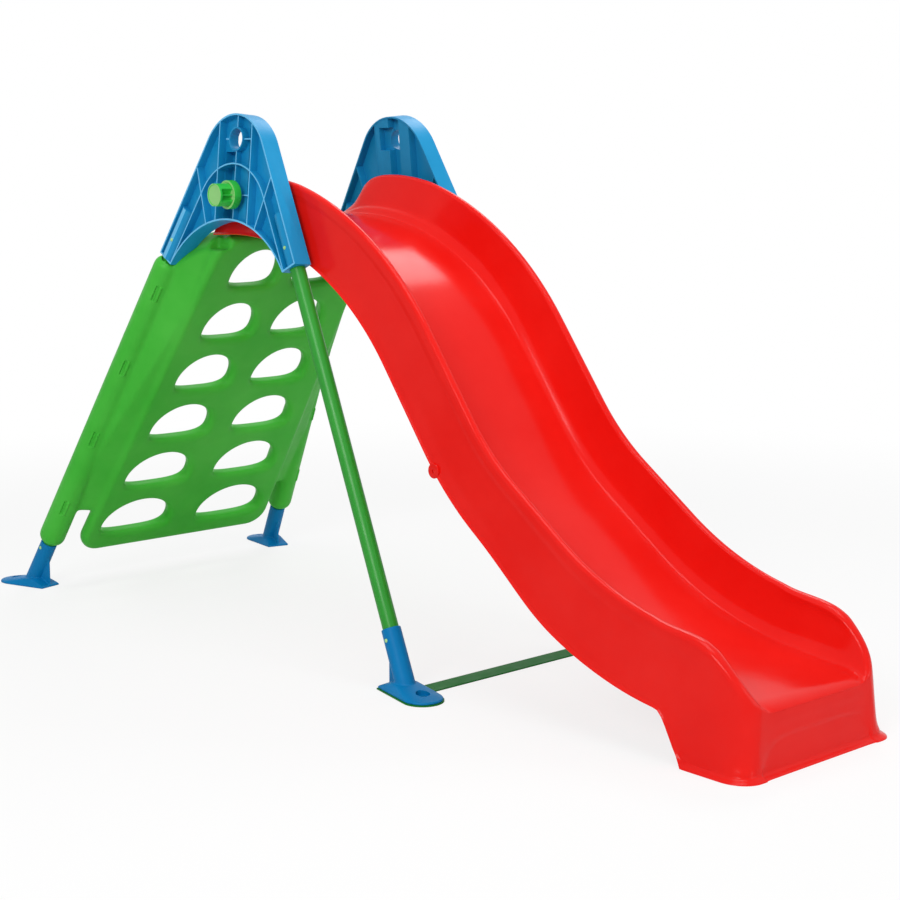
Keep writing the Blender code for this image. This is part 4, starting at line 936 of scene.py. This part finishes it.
def make_panel(material):
    plane, length = plate_matrix()
    bottom = PANEL_BOTTOM
    edge = filleted([(-0.296, bottom, 0.055), (-0.232, length, 0.075), (0.232, length, 0.075),
                     (0.296, bottom, 0.055)], steps=20, closed=True)
    outlines = [edge]
    for row in range(6):
        share = row / 5
        sill = bottom + 0.0545 + (length - 0.1560 - bottom - 0.0545) * share
        for name, side in SIDES:
            outlines.append(foot_hole(side, 0.048 - 0.021 * share, 0.247 - 0.088 * share, sill))
    panel = extruded("panel", outlines, PANEL_THICK, plane, rounding=0.015, round_steps=5)
    combine(panel, [swing_room(side) for name, side in SIDES], "DIFFERENCE")
    bodies = []
    for name, side in SIDES:
        direction = leg_axis("rear", side)[1]
        low = leg_point("rear", side, RAIL_LOW_Z) + direction * 0.001
        high = leg_point("rear", side, CUT_Z) - direction * 0.001
        run = (high - low).length
        profile = [(0, run)]
        for step in range(13):
            turn = math.pi / 2 * step / 12
            profile.append((0.009 + 0.024 * math.sin(turn), run - 0.024 + 0.024 * math.cos(turn)))
        profile += [(radius, run - height) for radius, height in reversed(profile[1:])]
        profile.append((0, 0))
        rail = turned("rail", profile, frame_along(low, high - low), 64)
        webs = []
        stops = (bottom + 0.160, length - 0.120, length - 0.045)
        for first, second in zip(stops, stops[1:]):
            corners = []
            for distance in (first, second):
                half = 0.296 - 0.064 * (distance - bottom) / (length - bottom) - 0.027
                spot = plane @ Vector((side * half, distance, -0.004))
                corners += ball_points(spot, 0.021)
                back = leg_point("rear", side, min(spot.z, high.z - 0.033))
                if distance > length - 0.1:
                    back = back.lerp(Vector((-0.150, side * 0.190, HEIGHT - 0.280)), 0.62)
                    corners += ball_points((-0.160, side * 0.180, HEIGHT - 0.280), 0.012)
                    corners += ball_points((-0.197, side * 0.197, HEIGHT - 0.289), 0.0135)
                corners += ball_points(back, 0.0135)
            webs.append(hull("web", corners))
        combine(rail, webs, "UNION")
        bore = rod("bore", low - direction * 0.03, high + direction * 0.06, BORE_R + 0.0012, facets=56)
        combine(rail, [bore, swing_room(side)], "DIFFERENCE")
        bodies.append(rail)
    roll = []
    for side in (-1, 1):
        roll += ball_points((-0.160, side * 0.180, HEIGHT - 0.280), 0.012)
        roll += ball_points(plane @ Vector((side * 0.160, length - 0.014, 0)), 0.0145)
    bodies.append(hull("roll", roll))
    merge(panel, bodies)
    melt(panel, 0.0042, 7, plane)
    bm = bmesh.new()
    bm.from_mesh(panel.data)
    inwards = plane.to_3x3() @ Vector((0, 0, 1))
    for name, side in SIDES:
        low = leg_point("rear", side, RAIL_LOW_Z)
        high = leg_point("rear", side, CUT_Z)
        along_rail = (high - low).normalized()
        outwards = (inwards * 0.8 + Vector((0, side * 0.6, 0))).normalized()
        outwards = (outwards - along_rail * outwards.dot(along_rail)).normalized()
        across = along_rail.cross(outwards).normalized()
        if across.dot(inwards) < 0:
            across = -across
        for index in range(4):
            centre = low + (high - low) * (0.15 + index / 4)
            face_spot = centre + outwards * 0.033
            for cuts in (2, 1):
                near = [edge for edge in bm.edges if (edge.verts[0].co - face_spot).length < 0.034]
                bmesh.ops.subdivide_edges(bm, edges=near, cuts=cuts, use_grid_fill=True, smooth=0)
            for vert in bm.verts:
                if (vert.co - face_spot).length < 0.034 and (vert.co - centre).dot(outwards) > 0.012:
                    vert.co += outwards * clip_lift(vert.co, along_rail, across, face_spot)
    bmesh.ops.triangulate(bm, faces=[face for face in bm.faces if len(face.verts) > 4])
    bm.to_mesh(panel.data)
    bm.free()
    return piece(panel, "panel_moulding", "frame", material, ["climbing_panel"], 60)


# ---- materials

def node(tree, kind, **values):
    made = tree.nodes.new(kind)
    for key, value in values.items():
        if hasattr(made, key):
            setattr(made, key, value)
        else:
            made.inputs[key.replace("_", " ")].default_value = value
    return made


def plastic(name, colour, pale, roughness, grain, gloss, coat=0.0, metallic=0.0, wave=0.0001):
    """Moulded plastic: faint flow marks in the colour, uneven gloss, a fine grain and slow waves."""
    material = bpy.data.materials.new(name)
    material.use_nodes = True
    tree = material.node_tree
    shader = tree.nodes["Principled BSDF"]
    shader.inputs["Metallic"].default_value = metallic
    shader.inputs["Specular IOR Level"].default_value = gloss
    shader.inputs["Coat Weight"].default_value = coat
    shader.inputs["Coat Roughness"].default_value = 0.08
    link = tree.links.new
    coords = node(tree, "ShaderNodeTexCoord")
    flow = node(tree, "ShaderNodeTexNoise", Scale=5.0, Detail=4.0, Roughness=0.6)
    ramp = node(tree, "ShaderNodeMapRange", From_Min=0.35, From_Max=0.68)
    link(flow.outputs["Fac"], ramp.inputs["Value"])
    tint = node(tree, "ShaderNodeMix", data_type="RGBA")
    tint.inputs[6].default_value = (*colour, 1)
    tint.inputs[7].default_value = (*pale, 1)
    link(ramp.outputs["Result"], tint.inputs[0])
    link(tint.outputs[2], shader.inputs["Base Color"])
    smudge = node(tree, "ShaderNodeTexNoise", Scale=22.0, Detail=6.0, Roughness=0.65)
    dull = node(tree, "ShaderNodeMapRange", From_Min=0.3, From_Max=0.75, To_Min=roughness * 0.85,
                To_Max=roughness * 1.22)
    link(smudge.outputs["Fac"], dull.inputs["Value"])
    link(dull.outputs["Result"], shader.inputs["Roughness"])
    fine = node(tree, "ShaderNodeTexNoise", Scale=grain, Detail=3.0, Roughness=0.55)
    slow = node(tree, "ShaderNodeTexNoise", Scale=9.0, Detail=1.0, Roughness=0.4)
    for noise in (flow, smudge, fine, slow):
        link(coords.outputs["Object"], noise.inputs["Vector"])
    bump_slow = node(tree, "ShaderNodeBump", Strength=0.6, Distance=wave)
    link(slow.outputs["Fac"], bump_slow.inputs["Height"])
    bump_fine = node(tree, "ShaderNodeBump", Strength=0.35, Distance=0.00008)
    link(fine.outputs["Fac"], bump_fine.inputs["Height"])
    link(bump_slow.outputs["Normal"], bump_fine.inputs["Normal"])
    link(bump_fine.outputs["Normal"], shader.inputs["Normal"])
    return material


# ---- stage

def make_stage():
    bm = bmesh.new()
    bmesh.ops.create_grid(bm, x_segments=8, y_segments=8, size=14.0)
    floor = new_object("studio_floor", bm)
    floor.location = (-0.3, 0, -0.0005)
    material = bpy.data.materials.new("floor white")
    material.use_nodes = True
    tree = material.node_tree
    tree.nodes.clear()
    link = tree.links.new
    out = node(tree, "ShaderNodeOutputMaterial")
    diffuse = node(tree, "ShaderNodeBsdfDiffuse", Color=(0.88, 0.88, 0.88, 1))
    glow = node(tree, "ShaderNodeEmission", Color=(1, 1, 1, 1), Strength=1.0)
    ray = node(tree, "ShaderNodeLightPath")
    coords = node(tree, "ShaderNodeTexCoord")
    reach = node(tree, "ShaderNodeVectorMath", operation="LENGTH")
    link(coords.outputs["Object"], reach.inputs[0])
    far = node(tree, "ShaderNodeMapRange", interpolation_type="SMOOTHSTEP", From_Min=1.6, From_Max=3.6,
               To_Min=0.80, To_Max=1.0)
    link(reach.outputs["Value"], far.inputs["Value"])
    keep = node(tree, "ShaderNodeMath", operation="MULTIPLY")
    link(far.outputs["Result"], keep.inputs[1])
    link(ray.outputs["Is Camera Ray"], keep.inputs[0])
    mix = node(tree, "ShaderNodeMixShader")
    link(keep.outputs[0], mix.inputs[0])
    link(diffuse.outputs[0], mix.inputs[1])
    link(glow.outputs[0], mix.inputs[2])
    link(mix.outputs[0], out.inputs[0])
    floor.data.materials.append(material)
    world = bpy.data.worlds.new("studio")
    bpy.context.scene.world = world
    world.use_nodes = True
    tree = world.node_tree
    tree.nodes.clear()
    link = tree.links.new
    out = node(tree, "ShaderNodeOutputWorld")
    seen = node(tree, "ShaderNodeBackground", Strength=1.0, Color=(1, 1, 1, 1))
    lit = node(tree, "ShaderNodeBackground", Strength=0.34, Color=(1, 1, 1, 1))
    ray = node(tree, "ShaderNodeLightPath")
    mix = node(tree, "ShaderNodeMixShader")
    either = node(tree, "ShaderNodeMath", operation="MAXIMUM")
    link(ray.outputs["Is Camera Ray"], either.inputs[0])
    link(ray.outputs["Is Glossy Ray"], either.inputs[1])
    link(either.outputs[0], mix.inputs[0])
    link(lit.outputs[0], mix.inputs[1])
    link(seen.outputs[0], mix.inputs[2])
    link(mix.outputs[0], out.inputs[0])


def area_light(name, spot, target, size, power):
    data = bpy.data.lights.new(name, "AREA")
    data.shape = "RECTANGLE"
    data.size, data.size_y = size
    data.energy = power
    lamp = bpy.data.objects.new(name, data)
    bpy.context.scene.collection.objects.link(lamp)
    lamp.location = spot
    lamp.rotation_euler = (Vector(target) - Vector(spot)).to_track_quat("-Z", "Y").to_euler()


def make_camera():
    azimuth = math.radians(48.05)
    elevation = math.radians(9.413)
    back = Vector((math.sin(azimuth) * math.cos(elevation), -math.cos(azimuth) * math.cos(elevation),
                   math.sin(elevation)))
    data = bpy.data.cameras.new("camera")
    data.sensor_fit = "HORIZONTAL"
    data.sensor_width = 36.0
    data.lens = 74.37
    camera = bpy.data.objects.new("camera", data)
    bpy.context.scene.collection.objects.link(camera)
    camera.location = (3.488 - FRONT_FOOT_X, -2.736, 1.138)
    camera.rotation_euler = back.to_track_quat("Z", "Y").to_euler()
    bpy.context.scene.camera = camera


make_stage()
make_camera()
area_light("key", (1.9, -4.4, 3.1), (-0.3, 0, 0.5), (2.2, 1.8), 122)
area_light("back softbox", (-1.75, 2.65, 4.5), (-0.4, 0, 0.7), (1.9, 1.7), 54)
area_light("top", (0.6, -0.4, 4.4), (0, 0, 0.3), (2.4, 2.0), 62)
area_light("fill", (4.4, 1.2, 1.8), (0, 0, 0.5), (2.4, 2.4), 46)

red = plastic("chute red", (0.76, 0.0085, 0.0055), (0.79, 0.013, 0.009), 0.17, 420, 0.10, 0.05, wave=0.0004)
green = plastic("panel green", (0.042, 0.440, 0.030), (0.066, 0.500, 0.046), 0.42, 900, 0.18, wave=0.0004)
tube_green = plastic("tube green", (0.016, 0.265, 0.020), (0.026, 0.310, 0.028), 0.32, 1600, 0.3)
# The strap's green is darker than its own colour: painted shade from the chute above it.
strap_green_painted_shade = plastic("strap green painted shade", (0.005, 0.150, 0.018), (0.010, 0.180, 0.024), 0.5, 1600, 0.1)
blue = plastic("bracket blue", (0.006, 0.255, 0.520), (0.014, 0.305, 0.600), 0.38, 1100, 0.2)
foot_blue = plastic("foot blue", (0.0004, 0.175, 0.430), (0.001, 0.205, 0.490), 0.42, 1100, 0.12)
# Paler blue for the bracket's rim and rib tops: a painted highlight.
blue_painted_highlight = plastic("bracket rib edges painted highlight", (0.110, 0.480, 0.800), (0.150, 0.540, 0.870), 0.34, 1100, 0.3)
knob_green = plastic("knob green", (0.018, 0.470, 0.040), (0.045, 0.540, 0.060), 0.38, 1300, 0.25)
# Paler green for the knob's outer end faces: a painted highlight.
knob_face_painted_highlight = plastic("knob face painted highlight green", (0.250, 0.600, 0.180), (0.300, 0.650, 0.220), 0.45, 1300, 0.3)
steel = plastic("spring steel", (0.52, 0.53, 0.53), (0.60, 0.61, 0.60), 0.32, 1500, 0.5, metallic=1.0)
button_green = plastic("button green", (0.34, 0.64, 0.22), (0.46, 0.74, 0.34), 0.24, 1500, 0.5, 0.2)

make_chute(red)
make_panel(green)
make_strap(strap_green_painted_shade)
for name, side in SIDES:
    make_bracket(name, side, blue, blue_painted_highlight)
    make_knob(name, side, knob_green, knob_face_painted_highlight)
    for end in ("front", "rear"):
        make_leg(end, name, side, tube_green)
        make_foot(end, name, side, foot_blue)
        for place_name, height, sleeve in button_heights(end):
            make_button(end, place_name, name, side, height, sleeve, button_green)
            make_spring(end, place_name, name, side, height, 1 if place_name == "foot" else -1, steel)
for name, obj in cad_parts.items():
    if "nut" in name:
        for slot in obj.material_slots:
            slot.material = steel

bpy.context.scene.view_settings.view_transform = "Standard"
